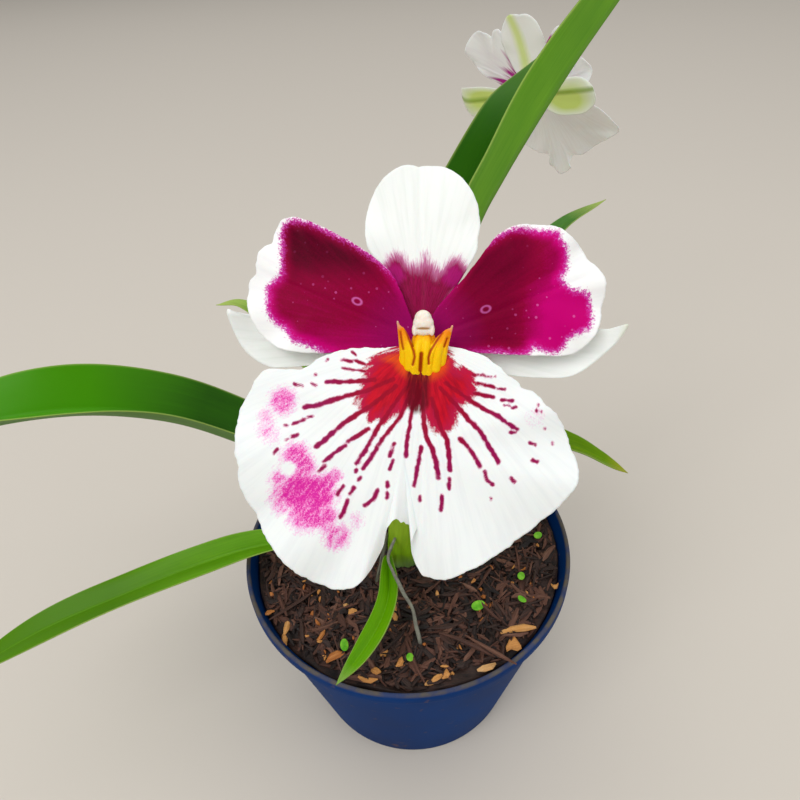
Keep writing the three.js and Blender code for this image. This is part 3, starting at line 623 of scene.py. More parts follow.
def shell_faces(rows, columns):
    """The faces of a thin closed body: two layers of rows of points, and the edge between."""
    faces = []
    under = rows * columns
    for a in (i * columns + j for i in range(rows - 1) for j in range(columns - 1)):
        square = [a, a + 1, a + columns + 1, a + columns]
        faces += [square, [corner + under for corner in reversed(square)]]
    edge = list(range(columns)) + list(range(2 * columns - 1, under, columns))
    edge += list(range(under - 2, under - columns - 1, -1))
    edge += list(range(under - 2 * columns, -1, -columns))
    return faces + [[b, a, a + under, b + under] for a, b in zip(edge, edge[1:])]


def leaf_piece(name, keel, half_width, opening, inner, outer=LEAF_OUTER, tip=LEAF_MID, turn=None,
               base=0.3, lifts=(FOLD_LIFTS, FOLD_LIFTS)):
    """A leaf along its keel. Each half lifts by its angles in degrees from foot to tip."""
    line = along_line(keel, LEAF_STATIONS)
    tangent = unit(np.gradient(line, axis=0))
    towards = unit(np.array(opening, float))
    up = unit(towards - tangent * (tangent @ towards)[:, None])
    side = np.cross(tangent, up)
    share = np.linspace(0, 1, LEAF_STATIONS)
    opened = base + (1 - base) * smooth_step(share / LEAF_OPEN_BY)
    closing = np.clip((share - LEAF_CLOSE_FROM) / (1 - LEAF_CLOSE_FROM), 0, 1)
    width = half_width * opened * np.maximum(LEAF_TIP, 1 - closing ** LEAF_TAPER)
    t = np.sin(np.linspace(-np.pi / 2, np.pi / 2, LEAF_ACROSS))
    length = np.linalg.norm(np.diff(line, axis=0), axis=1).sum()
    folds = []
    for half in lifts:
        fold = np.interp(share, np.linspace(0, 1, len(half)), half)
        folds.append(np.radians(np.convolve(np.pad(fold, 4, "edge"), np.ones(9) / 9, "valid")))
    lift = np.where(t < 0, folds[0][:, None], folds[1][:, None])
    bend = 1 - LEAF_CURL * t ** 2
    wave = MARGIN_WAVE * t ** 4 * np.sin(share[:, None] * length / WAVE_LENGTH + 2 * np.sign(t))
    wave = wave * np.minimum(1, width / 6)[:, None]
    out = t[None, :] * width[:, None]
    rise = np.abs(out) * np.sin(lift) * bend + wave * np.cos(lift)
    spread = out * np.cos(lift) - np.sign(t) * wave * np.sin(lift)
    middle = line[:, None] + side[:, None] * spread[..., None] + up[:, None] * rise[..., None]
    along = np.gradient(middle, axis=0)
    crosswise = np.gradient(middle, axis=1)
    normal = unit(np.cross(crosswise, along))
    thin = LEAF_MARGIN + (LEAF_THICKNESS - LEAF_MARGIN) * (1 - t ** 4)
    thin = thin[None, :, None] * np.minimum(1, 0.25 + width[:, None, None] / 2)
    points = np.stack([middle + normal * thin / 2, middle - normal * thin / 2]).reshape(-1, 3)
    places = [np.broadcast_arrays(out, share[:, None] * length, 5 * face) for face in (1, -1)]
    shares = [np.broadcast_arrays(t, share[:, None], face) for face in (1, -1)]
    marks = {"leaf_mm": np.moveaxis(places, 1, -1).reshape(-1, 3),
             "leaf_share": np.moveaxis(shares, 1, -1).reshape(-1, 3)}
    new_piece(name + "_blade", points, shell_faces(*out.shape),
              leaf_tissue(name, inner, outer, tip, turn), nodes=[name], slot="leaf", marks=marks)


for name, leaf in LEAVES.items():
    leaf_piece(name, **leaf)

# Aerial root
# A thin root from the foot of the front growth, in its dry grey-green spongy skin. It arches
# out over the bark and goes down into it.

ROOT_PATH = [(-3.8, -9.2, 86.2), (-6.1, -16.4, 86.3), (-4.6, -22.9, 87.5),
             (-3.1, -26.6, 87.5), (-1.7, -29.4, 86), (0.7, -31.8, 81.6),
             (1.5, -34.2, 76.5), (2.5, -37.2, 72), (2.6, -38.2, 63)]
ROOT_RADIUS = 0.6
ROOT_STATIONS = 70
ROOT_SIDES = 14
ROOT_GREY = "#77756c"
ROOT_GREEN = "#8e9080"


def rope(path, radii, sides, ribs=0, rib_depth=0.0):
    """A round body along a smooth line: its points, faces and each point's share of the way."""
    line = along_line(path, len(radii))
    tangent = unit(np.gradient(line, axis=0))
    across = np.cross(tangent[0], (0.3, 0.2, 0.93))
    points = []
    for i, radius in enumerate(radii):
        across = unit(across - tangent[i] * (across @ tangent[i]))
        over = np.cross(tangent[i], across)
        for side in range(sides):
            turn = 2 * np.pi * side / sides
            reach = radius * (1 + rib_depth * np.cos(ribs * turn))
            points.append(line[i] + reach * (across * np.cos(turn) + over * np.sin(turn)))
    share = np.repeat(np.linspace(0, 1, len(radii)), sides)
    return points, tube_faces(len(radii), sides), share


def dry_velamen():
    """The root's spongy dead skin: chalky grey-green, matt and finely flecked."""
    finish, add, shader = new_finish("root_dry_velamen", IOR=1.45, Roughness=0.8)
    place = add("TexCoord").outputs["Object"]
    fleck = add("TexNoise", place, Scale=620.0, Detail=4.0)
    colour = add("ValToRGB", fleck, stops=[(0.35, ROOT_GREY), (0.65, ROOT_GREEN)])
    skin = add("Bump", Height=fleck, Strength=0.6, Distance=0.15 * MM)
    feed(shader, Base_Color=colour, Normal=skin)
    return finish


root_swell = ROOT_RADIUS * np.linspace(0.75, 1.05, ROOT_STATIONS)
root_swell *= 1 + 0.1 * np.sin(np.linspace(0, 19, ROOT_STATIONS))
root_points, root_faces, _ = rope(ROOT_PATH, root_swell, ROOT_SIDES)
new_piece("aerial_root_skin", root_points, root_faces, dry_velamen(), nodes=["aerial_root"],
          slot="aerial_root")

# Flower stalks
# Each flower stands on one smooth green stalk from the foot of a growth. The last stretch is
# the flower's own stem and its ribbed ovary, which is paler and runs into the flower's back.

FLOWERS = {
    "front": {"centre": (5.6, -22.1, 170.1), "size": 1.0, "heading": 0, "rise": 38.8, "roll": -2.8,
              "lip_tilt": 0.22, "sepal_cupped": 0.035,
              "scape": [(10, -3, 60), (12.5, -2, 95), (12.5, 0, 125), (9, 2, 143)]},
    "rear": {"centre": (60.8, 140.2, 183.7), "size": 0.78, "heading": 137, "rise": 18.6, "roll": -2,
             "lip_tilt": 0.37, "sepal_cupped": -0.012,
             "scape": [(5, 19, 60), (8, 28, 100), (16, 50, 138), (27, 82, 166), (37, 106, 175.5)]},
}
STALK_BACK = (26, 14, 0.9)
STALK_STATIONS = 110
STALK_SIDES = 20
SCAPE_RADIUS = 1.5
OVARY_RADIUS = 1.6
OVARY_FROM = 0.72
OVARY_RIBS = 6
OVARY_WAIST = 0.22
STALK_GREEN = "#5f8c33"
STALK_SUNNY = "#7fa544"
OVARY_PALE = "#a9bd78"


def in_world(points, placing):
    """Flower points in mm as plant points: the face points along +Z, the dorsal sepal +Y."""
    turn = (Matrix.Rotation(math.radians(placing["heading"]), 3, "Z")
            @ Matrix.Rotation(math.radians(90 - placing["rise"]), 3, "X")
            @ Matrix.Rotation(math.radians(placing["roll"]), 3, "Z"))
    return np.asarray(points) * placing["size"] @ np.array(turn).T + placing["centre"]


def stalk_skin():
    """Smooth green stalk, fading to the pale ovary, with faint lengthwise streaks."""
    finish, add, shader = new_finish("flower_stalk_green_skin", IOR=1.42, Subsurface_Weight=0.1,
                                     Subsurface_Scale=0.8 * MM)
    up = add("Attribute", attribute_name="up_share").outputs["Fac"]
    place = add("TexCoord").outputs["Object"]
    streaked = add("Mapping", place, Scale=(1100, 1100, 70))
    streak = add("TexNoise", streaked, Scale=1.0, Detail=3.0)
    green = add("ValToRGB", up, stops=[(0.0, STALK_GREEN), (0.7, STALK_SUNNY), (0.95, OVARY_PALE)])
    shade = add("MapRange", streak, 0.3, 0.7, 0.75)
    shaded = add("Mix RGBA", 1.0, green, shade, blend_type="MULTIPLY")
    gloss = add("MapRange", streak, To_Min=0.35, To_Max=0.55)
    line = add("Bump", Height=streak, Strength=0.25, Distance=0.08 * MM)
    feed(shader, Base_Color=shaded, Roughness=gloss, Normal=line)
    return finish


green_skin = stalk_skin()
for flower, placing in FLOWERS.items():
    back = in_world([(0, 0, -distance) for distance in STALK_BACK], placing)
    share = np.linspace(0, 1, STALK_STATIONS)
    radii = SCAPE_RADIUS + (OVARY_RADIUS * placing["size"] - SCAPE_RADIUS) * share
    radii *= 1 - OVARY_WAIST * (smooth_step((share - OVARY_FROM) / 0.08)
                                * smooth_step((0.99 - share) / 0.12))
    points, faces, up_share = rope([*placing["scape"], *back], radii, STALK_SIDES, OVARY_RIBS, 0.03)
    new_piece(flower + "_stalk_skin", points, faces, green_skin, nodes=[flower + "_flower_stalk"],
              slot="flower_stalk", marks={"up_share": up_share})

# Sepals
# The three outer parts of each flower: soft white tissue under a millimetre thick, veined from
# the foot to the edge. In the bud they were its outside, so their backs are greener. They grow
# from the end of the ovary, behind the petals.

PETAL_THICKNESS = 0.7
PETAL_EDGE = 0.3
CAD_STEPS = 2
DORSAL_SEPAL = [
    (0, 40), (5.5, 39.4), (10, 35.8), (13, 30), (13.4, 25.5), (12.5, 20), (9.5, 14.5), (5.4, 8),
    (2.4, 2.6), (-2.4, 2.6), (-5, 8), (-8.8, 15.5), (-12, 21), (-12.4, 26), (-11.5, 31), (-9, 35.9),
    (-4.5, 39.5)]
LEFT_SEPAL = [
    (-3.2, -0.9), (-11.5, -3), (-22.5, -5), (-32, -5.8), (-36, -5), (-40, -2), (-42.5, 2.5),
    (-43.4, 7), (-41, 6.6), (-35, 5.6), (-27.5, 4.5), (-16, 3), (-3.2, 0.9)]
RIGHT_SEPAL = [
    (3.2, 0.9), (13.5, 2.5), (27, 3), (38.5, 3.2), (43, 3), (46, 3.6), (44.5, 0), (41, -3.5),
    (36, -7), (30.5, -8.2), (20, -7.6), (9, -4.5), (3.2, -0.9)]
REAR_LEFT_SEPAL = [
    (-3.2, -0.9), (-9, -5), (-18, -7.8), (-27.6, -6.6), (-34.2, -4.5), (-38.8, -0.5), (-40, 3.5),
    (-39.6, 7.5), (-37.8, 10.6), (-34, 12.8), (-28.9, 13.2), (-20, 11), (-12, 6.8), (-3.2, 0.9)]
REAR_RIGHT_SEPAL = [
    (3.2, 0.9), (13, 2.5), (24, 3), (33, 2.8), (41, 1.5), (46.5, -1.5), (48.5, -6.5), (46, -12),
    (39, -15), (29, -14), (18, -10), (9, -5), (3.2, -0.9)]
SEPAL_FLANK = 7
DORSAL_BLUSH = [
    (-8.3, 13), (-7.6, 16.8), (-7, 18.5), (-5.5, 19.6), (-4, 18.8), (-3, 16.8), (-2, 17.2),
    (-0.5, 16.8), (0.3, 17.5), (1, 19.3), (1.8, 17.2), (3, 17), (4, 15.3), (5.5, 15.2), (6.5, 17.2),
    (7.5, 18.4), (8.5, 18.2), (9.5, 16.8), (10.5, 15), (9, 12), (3, 0), (-3, 0)]
BLUSH_LOBES = [(-6, 14.8, 2.9), (7.2, 14.4, 2.9)]
DORSAL_NICKS = [(-0.4, 40, 0.8, 0.35), (13, 28.5, 1.6, 0.3), (13.3, 23, 1.6, 0.3)]
FIBRE_SPREAD = 20
VEIN_RIDGE = 0.02
RIB_GROOVE = 0.22
SEPAL_WHITE = "#f6f9f6"
SEPAL_VEIN = "#f0f4f0"
SEPAL_TIP = "#d8dca0"
SEPAL_BACK = "#cfe27a"
SEPAL_RIB = "#7f9e2c"
DORSAL_BACK = "#f9fbf6"
# Partly painted light: this rib green is lighter than the rib's own, making up for the shade that
# the rear flower's back lies in.
DORSAL_RIB = "#d8ec72"
BLUSH_MAGENTA = "#98034a"
BLUSH_VEIN = "#7c0034"
BLUSH_LOBE = "#a90a6c"
BLUSH_FEATHER = "#c83f9c"


def wave_of(name, x, y):
    """How far a blade's edge ruffles in mm, how often, and where it does."""
    height, count, where = {
        "petal": (0.9, 7, (np.abs(x) - 12) / 14),
        "dorsal_sepal": (0.6, 5, (y - 10) / 12),
        "sepal": (0.3, 4, (np.abs(x) - 20) / 10),
        "lip": (1.3, 11, (-y - 6) / 16),
    }[name]
    return height * smooth_step(where), count


def relief_of(name, x, y, placing):
    """The height of a blade's middle above the flower's plane, in mm."""
    reach = np.hypot(x, y)
    down = np.maximum(0, -y - 1)
    off = np.minimum(SEPAL_FLANK, np.abs(y + 1))
    return {
        "petal": -1.2 + 0.1 * reach - 0.003 * reach ** 2,
        "dorsal_sepal": -3.3 + 0.06 * y - 0.0022 * y ** 2 + 0.004 * x ** 2,
        "sepal": -4.3 - 0.06 * reach + placing["sepal_cupped"] * off ** 2
                 + 0.05 * np.maximum(0, reach - 37) ** 2,
        "lip": 1.7 - 0.0016 * x ** 2 + placing["lip_tilt"] * down - 0.0035 * down ** 2,
    }[name]


def closed_line(points, steps):
    """A smooth closed line through points, anticlockwise, and each place's share of the way."""
    near = np.array(points, float)
    a, b, c, d = (np.roll(near, shift, 0)[:, None] for shift in (1, 0, -1, -2))
    t = (np.arange(steps) / steps)[None, :, None]
    bend = (a - 2.5 * b + 2 * c - 0.5 * d) * t ** 2
    twist = (1.5 * (b - c) + 0.5 * (d - a)) * t ** 3
    line = (b + 0.5 * (c - a) * t + bend + twist).reshape(-1, 2)
    share = np.arange(len(line)) / len(line)
    beyond = np.roll(line, -1, 0)
    if np.sum(line[:, 0] * beyond[:, 1] - line[:, 1] * beyond[:, 0]) < 0:
        line = line[::-1]
        share = 1 - share[::-1] - 1 / (CAD_STEPS * len(near))
    return line, share


def along_segments(points, line, closed):
    """Each point's least distance to a line of segments, and whether the line goes round it."""
    line = np.array(line, float)
    starts = line if closed else line[:-1]
    ends = np.roll(line, -1, 0) if closed else line[1:]
    least = np.full(len(points), 1e9)
    inside = np.zeros(len(points), bool)
    for start, end in zip(starts, ends):
        way = end - start
        share = np.clip((points - start) @ way / max(way @ way, 1e-9), 0, 1)
        least = np.minimum(least, np.linalg.norm(points - start - share[:, None] * way, axis=1))
        crosses = (start[1] > points[:, 1]) != (end[1] > points[:, 1])
        level = np.where(crosses, (points[:, 1] - start[1]) / (way[1] or 1e-9), 0)
        inside ^= crosses & (points[:, 0] < start[0] + level * way[0])
    return least, inside


def depth_inside(points, outline):
    """How far inside a closed outline each point lies, in mm. Outside it is negative."""
    least, inside = along_segments(points, outline, True)
    return np.where(inside, least, -least)


def blade(flower, part, kind, outline, centre, axis, rings, steps, finish, paint_marks=None,
          scallop=0.0, nicks=()):
    """One petal, sepal or lip: two faces of rings round its centre, with a thin edge between.

    nicks are places (x, y, reach, depth) where the real edge is dented, or swells where depth is
    negative.
    """
    placing = FLOWERS[flower]
    edge, share = closed_line(outline, steps)
    centre = np.array(centre, float)
    if scallop:
        length = np.concatenate([[0], np.cumsum(np.linalg.norm(np.diff(edge, axis=0), axis=1))])
        bite = [noise.noise(Vector((0.45 * at, 2.7, 0.3))) + 0.5 * noise.noise(
            Vector((1.4 * at, 8.1, 0.3))) for at in length]
        edge = edge + unit(centre - edge) * scallop * (0.6 + np.array(bite)[:, None])
    for nick_x, nick_y, reach, dent in nicks:
        near = np.exp(-(np.linalg.norm(edge - (nick_x, nick_y), axis=1) / reach) ** 2)
        edge = edge + unit(centre - edge) * dent * near[:, None]
    out = (np.arange(1, rings + 1) / rings)[:, None]
    flat = np.vstack([[centre], (centre + (edge - centre) * out[..., None]).reshape(-1, 2)])
    x, y = flat.T
    out = np.concatenate([[0], np.repeat(out.ravel(), len(edge))])
    phase = np.concatenate([[0], np.tile(share, rings)])
    height, count = wave_of(kind, x, y)
    middle = relief_of(kind, x, y, placing)
    middle = middle + height * out ** 3 * np.sin(2 * np.pi * count * phase)
    turn = math.radians(axis)
    along = x * math.cos(turn) + y * math.sin(turn)
    across = y * math.cos(turn) - x * math.sin(turn)
    radius = np.hypot(along, across)
    fibre = np.stack([FIBRE_SPREAD * np.arctan2(across, along), radius, out], -1)
    ridge = VEIN_RIDGE * np.sin(fibre[:, 0] * 1.9) * smooth_step(radius / 15)
    groove = np.exp(-(across / 0.7) ** 2) * smooth_step((radius - 3) / 6) * (1 - out ** 4)
    half = (PETAL_EDGE + (PETAL_THICKNESS - PETAL_EDGE) * (1 - out ** 3)) / 2
    shape = middle + ridge - RIB_GROOVE * groove
    points = np.vstack([np.stack([x, y, shape + side * half], -1) for side in (1, -1)])
    around = len(edge)
    layer = len(flat)
    ring = np.arange(around)
    beside = np.roll(ring, -1)
    first = np.stack([0 * ring, 1 + ring, 1 + beside], -1)
    inner = 1 + around * np.arange(rings - 1)[:, None]
    squares = np.stack([inner + ring, inner + around + ring, inner + around + beside,
                        inner + beside], -1).reshape(-1, 4)
    rim = 1 + (rings - 1) * around
    wall = np.stack([rim + ring, layer + rim + ring, layer + rim + beside, rim + beside], -1)
    faces = first.tolist() + (layer + first[:, ::-1]).tolist() + squares.tolist()
    faces += (layer + squares[:, ::-1]).tolist() + wall.tolist()
    sides = np.repeat([1.0, -1.0], layer)
    marks = {"blade_mm": np.stack([np.tile(along, 2), np.tile(across, 2), sides], -1),
             "fibre": np.tile(fibre, (2, 1))}
    for mark, values in (paint_marks(flat) if paint_marks else {}).items():
        marks[mark] = np.concatenate([values, values])
    new_piece(f"{flower}_{part}_blade", in_world(points, placing), faces, finish,
              nodes=[f"{flower}_{part}"], slot=kind.split("_")[-1], marks=marks)


def two_faced(add, shader, side, behind, face, cells, vein, matt=0.4, coarse=0.4, depth=0.12):
    """Ends a blade's tissue: its face in front and its back behind, with a fine cell grain."""
    forward = add("MapRange", side, -0.4, 0.4)
    skin = add("Mix RGBA", forward, behind, face)
    gloss = add("MapRange", cells, To_Min=matt, To_Max=0.6)
    grain = add("Math MULTIPLY_ADD", cells, coarse, vein)
    raised = add("Bump", Height=grain, Strength=depth, Distance=0.1 * MM)
    feed(shader, Base_Color=skin, Roughness=gloss, Normal=raised)


def sepal_tissue(name, back, rib, rib_half, bow, edge_from, blush):
    """White tissue, green behind, with a midrib. blush tells if its foot is magenta in front."""
    finish, add, shader = new_finish(name, IOR=1.4, Specular_IOR_Level=0.15, Subsurface_Weight=0.06,
                                     Subsurface_Scale=0.8 * MM)
    spot, fibre = (add("Attribute", attribute_name=mark).outputs["Vector"]
                   for mark in ("blade_mm", "fibre"))
    place, way = (add("SeparateXYZ", mark) for mark in (spot, fibre))
    veined = add("Mapping", fibre, Scale=(1.3, 0.05, 0.0))
    vein = add("TexNoise", veined, Scale=1.0, Detail=3.0, Roughness=0.6)
    cells = add("TexNoise", spot, Scale=4.0, Detail=2.0)
    white = add("ValToRGB", vein, stops=[(0.35, SEPAL_VEIN), (0.55, SEPAL_WHITE)])
    tip = add("MapRange", place.outputs["X"], 44.0, 48.0, To_Max=0.8)
    face = add("Mix RGBA", tip, white, SEPAL_TIP)
    if blush:
        depth, lobe = (add("Attribute", attribute_name=mark).outputs["Fac"]
                       for mark in ("blush_mm", "blush_lobe"))
        ragged = add("Mapping", fibre, Scale=(3.0, 0.4, 0.0))
        rag = add("TexNoise", ragged, Scale=1.0, Detail=4.0, Roughness=0.7)
        shifted = add("Math MULTIPLY_ADD", rag, 5.0, depth)
        feather = add("MapRange", shifted, 1.2, 3.0, To_Max=0.8)
        solid = add("MapRange", shifted, 2.0, 5.0)
        pinked = add("Mix RGBA", feather, face, BLUSH_FEATHER)
        branch = add("ValToRGB", rag, stops=[(0.42, BLUSH_VEIN), (0.56, BLUSH_MAGENTA)])
        lobed = add("Math MULTIPLY", rag, lobe)
        glowing = add("MapRange", lobed, 0.15, 0.5)
        dyed = add("Mix RGBA", glowing, branch, BLUSH_LOBE)
        face = add("Mix RGBA", solid, pinked, dyed)
    bowed = add("Math MULTIPLY", place.outputs["X"], place.outputs["X"])
    swerving = add("Math MULTIPLY", bowed, place.outputs["X"])
    beside_rib = add("Math MULTIPLY_ADD", swerving, bow, place.outputs["Y"])
    off_rib = add("Math ABSOLUTE", beside_rib)
    ribbed = add("MapRange", off_rib, rib_half, rib_half * 0.2, To_Max=0.75)
    edge = add("MapRange", way.outputs["Z"], edge_from, 1.0, To_Max=0.85)
    behind = add("Mix RGBA", edge, back, SEPAL_WHITE)
    backed = add("Mix RGBA", ribbed, behind, rib)
    two_faced(add, shader, place.outputs["Z"], backed, face, cells, vein, matt=0.42, depth=0.1)
    return finish


def dorsal_marks(flat):
    """Where the dorsal sepal's foot is magenta: how deep inside the blush, and in its lobes."""
    x, y = flat.T
    lobe = np.zeros(len(flat))
    for lobe_x, lobe_y, radius in BLUSH_LOBES:
        lobe = np.maximum(lobe, smooth_step(1.4 - np.hypot(x - lobe_x, y - lobe_y) / radius))
    return {"blush_mm": depth_inside(flat, DORSAL_BLUSH) + 2.2 * lobe, "blush_lobe": lobe}


dorsal_skin = sepal_tissue("dorsal_sepal_soft_tissue", DORSAL_BACK, DORSAL_RIB, rib_half=4.6,
                           bow=0.0001, edge_from=0.8, blush=True)
lateral_skin = sepal_tissue("lateral_sepal_soft_tissue", SEPAL_BACK, SEPAL_RIB, rib_half=2.0,
                            bow=0.0, edge_from=0.45, blush=False)
LATERALS = {
    "front": (("left", LEFT_SEPAL, (-24, -0.5), 180), ("right", RIGHT_SEPAL, (25, -2), -4)),
    "rear": (("left", REAR_LEFT_SEPAL, (-24, -0.5), 168), ("right", REAR_RIGHT_SEPAL, (25, -2), -8)),
}
for flower, fineness in (("front", 2), ("rear", 1)):
    blade(flower, "dorsal_sepal", "dorsal_sepal", DORSAL_SEPAL, (0, 24), 90, 16 * fineness,
          7 * fineness, dorsal_skin, dorsal_marks, scallop=0.12, nicks=DORSAL_NICKS)
    for side, outline, centre, axis in LATERALS[flower]:
        blade(flower, side + "_lateral_sepal", "sepal", outline, centre, axis, 12 * fineness,
              8 * fineness, lateral_skin, scallop=0.1)

# Petals
# Two broad petals to each flower, of the same soft tissue as the sepals. The cells of their
# face hold magenta dye, all but a white border that the dye runs into along the veins.

LEFT_PETAL = [
    (-1.0, 1.6), (-2.8, 7), (-6, 14), (-10, 18), (-16.5, 22.5), (-25, 26.5), (-30, 27),
    (-33.5, 23.5), (-36, 18.5), (-38.5, 12.5), (-38.5, 8), (-36.5, 2.5), (-33, -1), (-29, -2.5),
    (-21.5, -3), (-11, -2.6), (-1.4, -1.4)]
RIGHT_PETAL = [
    (1.2, 1.6), (3.4, 7), (10, 14.5), (16, 22.5), (20, 25), (24.5, 26), (29.5, 25.5), (34, 22.5),
    (37, 19.5), (40.5, 14), (41.2, 10), (40.3, 5), (37.5, 0), (33.5, -3), (25.5, -3.6),
    (17.5, -3.2), (9, -2.6), (1.5, -1.4)]
REAR_LEFT_PETAL = [
    (-3, 1.8), (-3.2, 8), (-8, 20), (-14, 29), (-18.5, 33.5), (-21.5, 32.5), (-23, 26.5),
    (-29, 22), (-34.5, 17), (-35, 10.5), (-29, 3), (-20, -1), (-11, -2.6), (-3.4, -1.2)]
REAR_RIGHT_PETAL = [
    (3, 1.8), (3.4, 8), (8.5, 18), (12.5, 27), (15.5, 31), (18.5, 30.5), (21, 27), (23.5, 29.5),
    (27.5, 30.5), (34, 26.5), (38, 20), (36, 14), (31, 9), (25, 4), (16, 0), (9, -2.6), (3.4, -1.2)]
LEFT_MAGENTA = [
    (0, 6), (-5, 13.6), (-9.6, 17.5), (-16.2, 22), (-24.6, 25.9), (-28.5, 26.4), (-30.2, 25.8),
    (-31, 23.5), (-30.7, 20), (-30.5, 16.5), (-30.8, 14.3), (-32.2, 13.2), (-33.8, 11.8),
    (-33.8, 9.5), (-33.8, 7), (-33, 5.2), (-31.8, 3.8), (-30, 2.7), (-29, 1.3), (-28, 0),
    (-25.5, -0.8), (-23.8, -1.4), (-22, -2.4), (-18, -4), (0, -4)]
RIGHT_MAGENTA = [
    (0, 6), (8, 14), (12.5, 20), (16, 22.3), (19, 24), (22, 24.6), (26, 24.3), (30, 23.8),
    (30.8, 22), (32, 20.3), (32.3, 18), (31.8, 15.5), (30.5, 13.5), (31.5, 12.5), (33, 11),
    (36, 10.5), (37, 10), (37.4, 8), (37.6, 5), (37, 3), (36, 2.3), (33.5, 1.2), (32, 0.2),
    (31.5, -1.2), (30, -2.5), (28, -2.6), (26.5, -2), (24.5, -1.5), (23, -3.2), (20, -3.4),
    (17, -2.7), (12, -2.9), (0, -4)]
PETAL_WHITE = "#fafbfa"
PETAL_VEIN = "#f5f5f6"
MAGENTA_DARK = "#52001c"
MAGENTA = "#8a0034"
MAGENTA_BRIGHT = "#c40070"
MAGENTA_FOOT = "#8e0a62"
MAGENTA_FEATHER = "#cf3fae"
MAGENTA_FRECKLE = "#d85aa8"
BACK_STREAK = "#b0308c"
BACK_ZONE = [(-4, 8), (-8, 18), (-13, 24.5)]
BACK_REACH = 6.6
RING_MARKS = {"left": (16.2, -2.3, 0.62), "right": (15.6, 1.2, 0.5)}
RING_RADIUS = 1.0
RING_SQUASH = (1.0, 1.45, 1.0)
RING_PINK = "#e070c4"
LEFT_NICKS = [(-34.2, 22.8, 1.4, 1.3), (-31.5, 26.8, 1.2, -0.5), (-37.4, 15.2, 1.3, 0.9),
              (-35.8, 19.2, 1.2, -0.4), (-38.8, 10.5, 1.4, 0.3)]
RIGHT_NICKS = [(37.6, 18.5, 1.5, 0.5), (40.2, 14, 1.6, -0.3), (41, 7, 1.5, 0.4)]


def left_petal_marks(flat):
    """The depth inside the dye, and its tone: darkest above, partly painted shade where the upper
    petal tilts back, brighter low down and at its rim.
    """
    x, y = flat.T
    # Partly painted shade: the dye is painted darker above, where the upper petal tilts back.
    glow = 0.5 - 0.42 * smooth_step((y - 11) / 8) + 0.12 * smooth_step((8 - np.abs(x)) / 6)
    rim = depth_inside(flat, LEFT_MAGENTA)
    low = smooth_step((5 - y) / 7)
    return {"dye_mm": rim, "glow": glow + 0.22 * low + 0.45 * smooth_step((3 - rim) / 3)}


def right_petal_marks(flat):
    """The depth inside the dye, and its tone: darker above, partly painted shade, and brightest low
    down on the outer half.
    """
    x, y = flat.T
    # Partly painted shade: the dye is painted darker above, where the upper petal tilts back.
    glow = 0.33 - 0.12 * smooth_step((y - 10) / 6) + 0.25 * smooth_step((12 - x) / 8)
    outer = smooth_step((x - 18) / 13) * (0.55 + 0.45 * smooth_step((16 - y) / 9))
    rim = depth_inside(flat, RIGHT_MAGENTA)
    return {"dye_mm": rim, "glow": glow + 0.75 * outer + 0.45 * smooth_step((3 - rim) / 3)}


def rear_left_petal_marks(flat):
    """The left petal's marks, and the band where the dye also shows on the back."""
    off_zone, _ = along_segments(flat, BACK_ZONE, False)
    return {**left_petal_marks(flat), "back_dye": smooth_step((BACK_REACH - off_zone) / 3)}


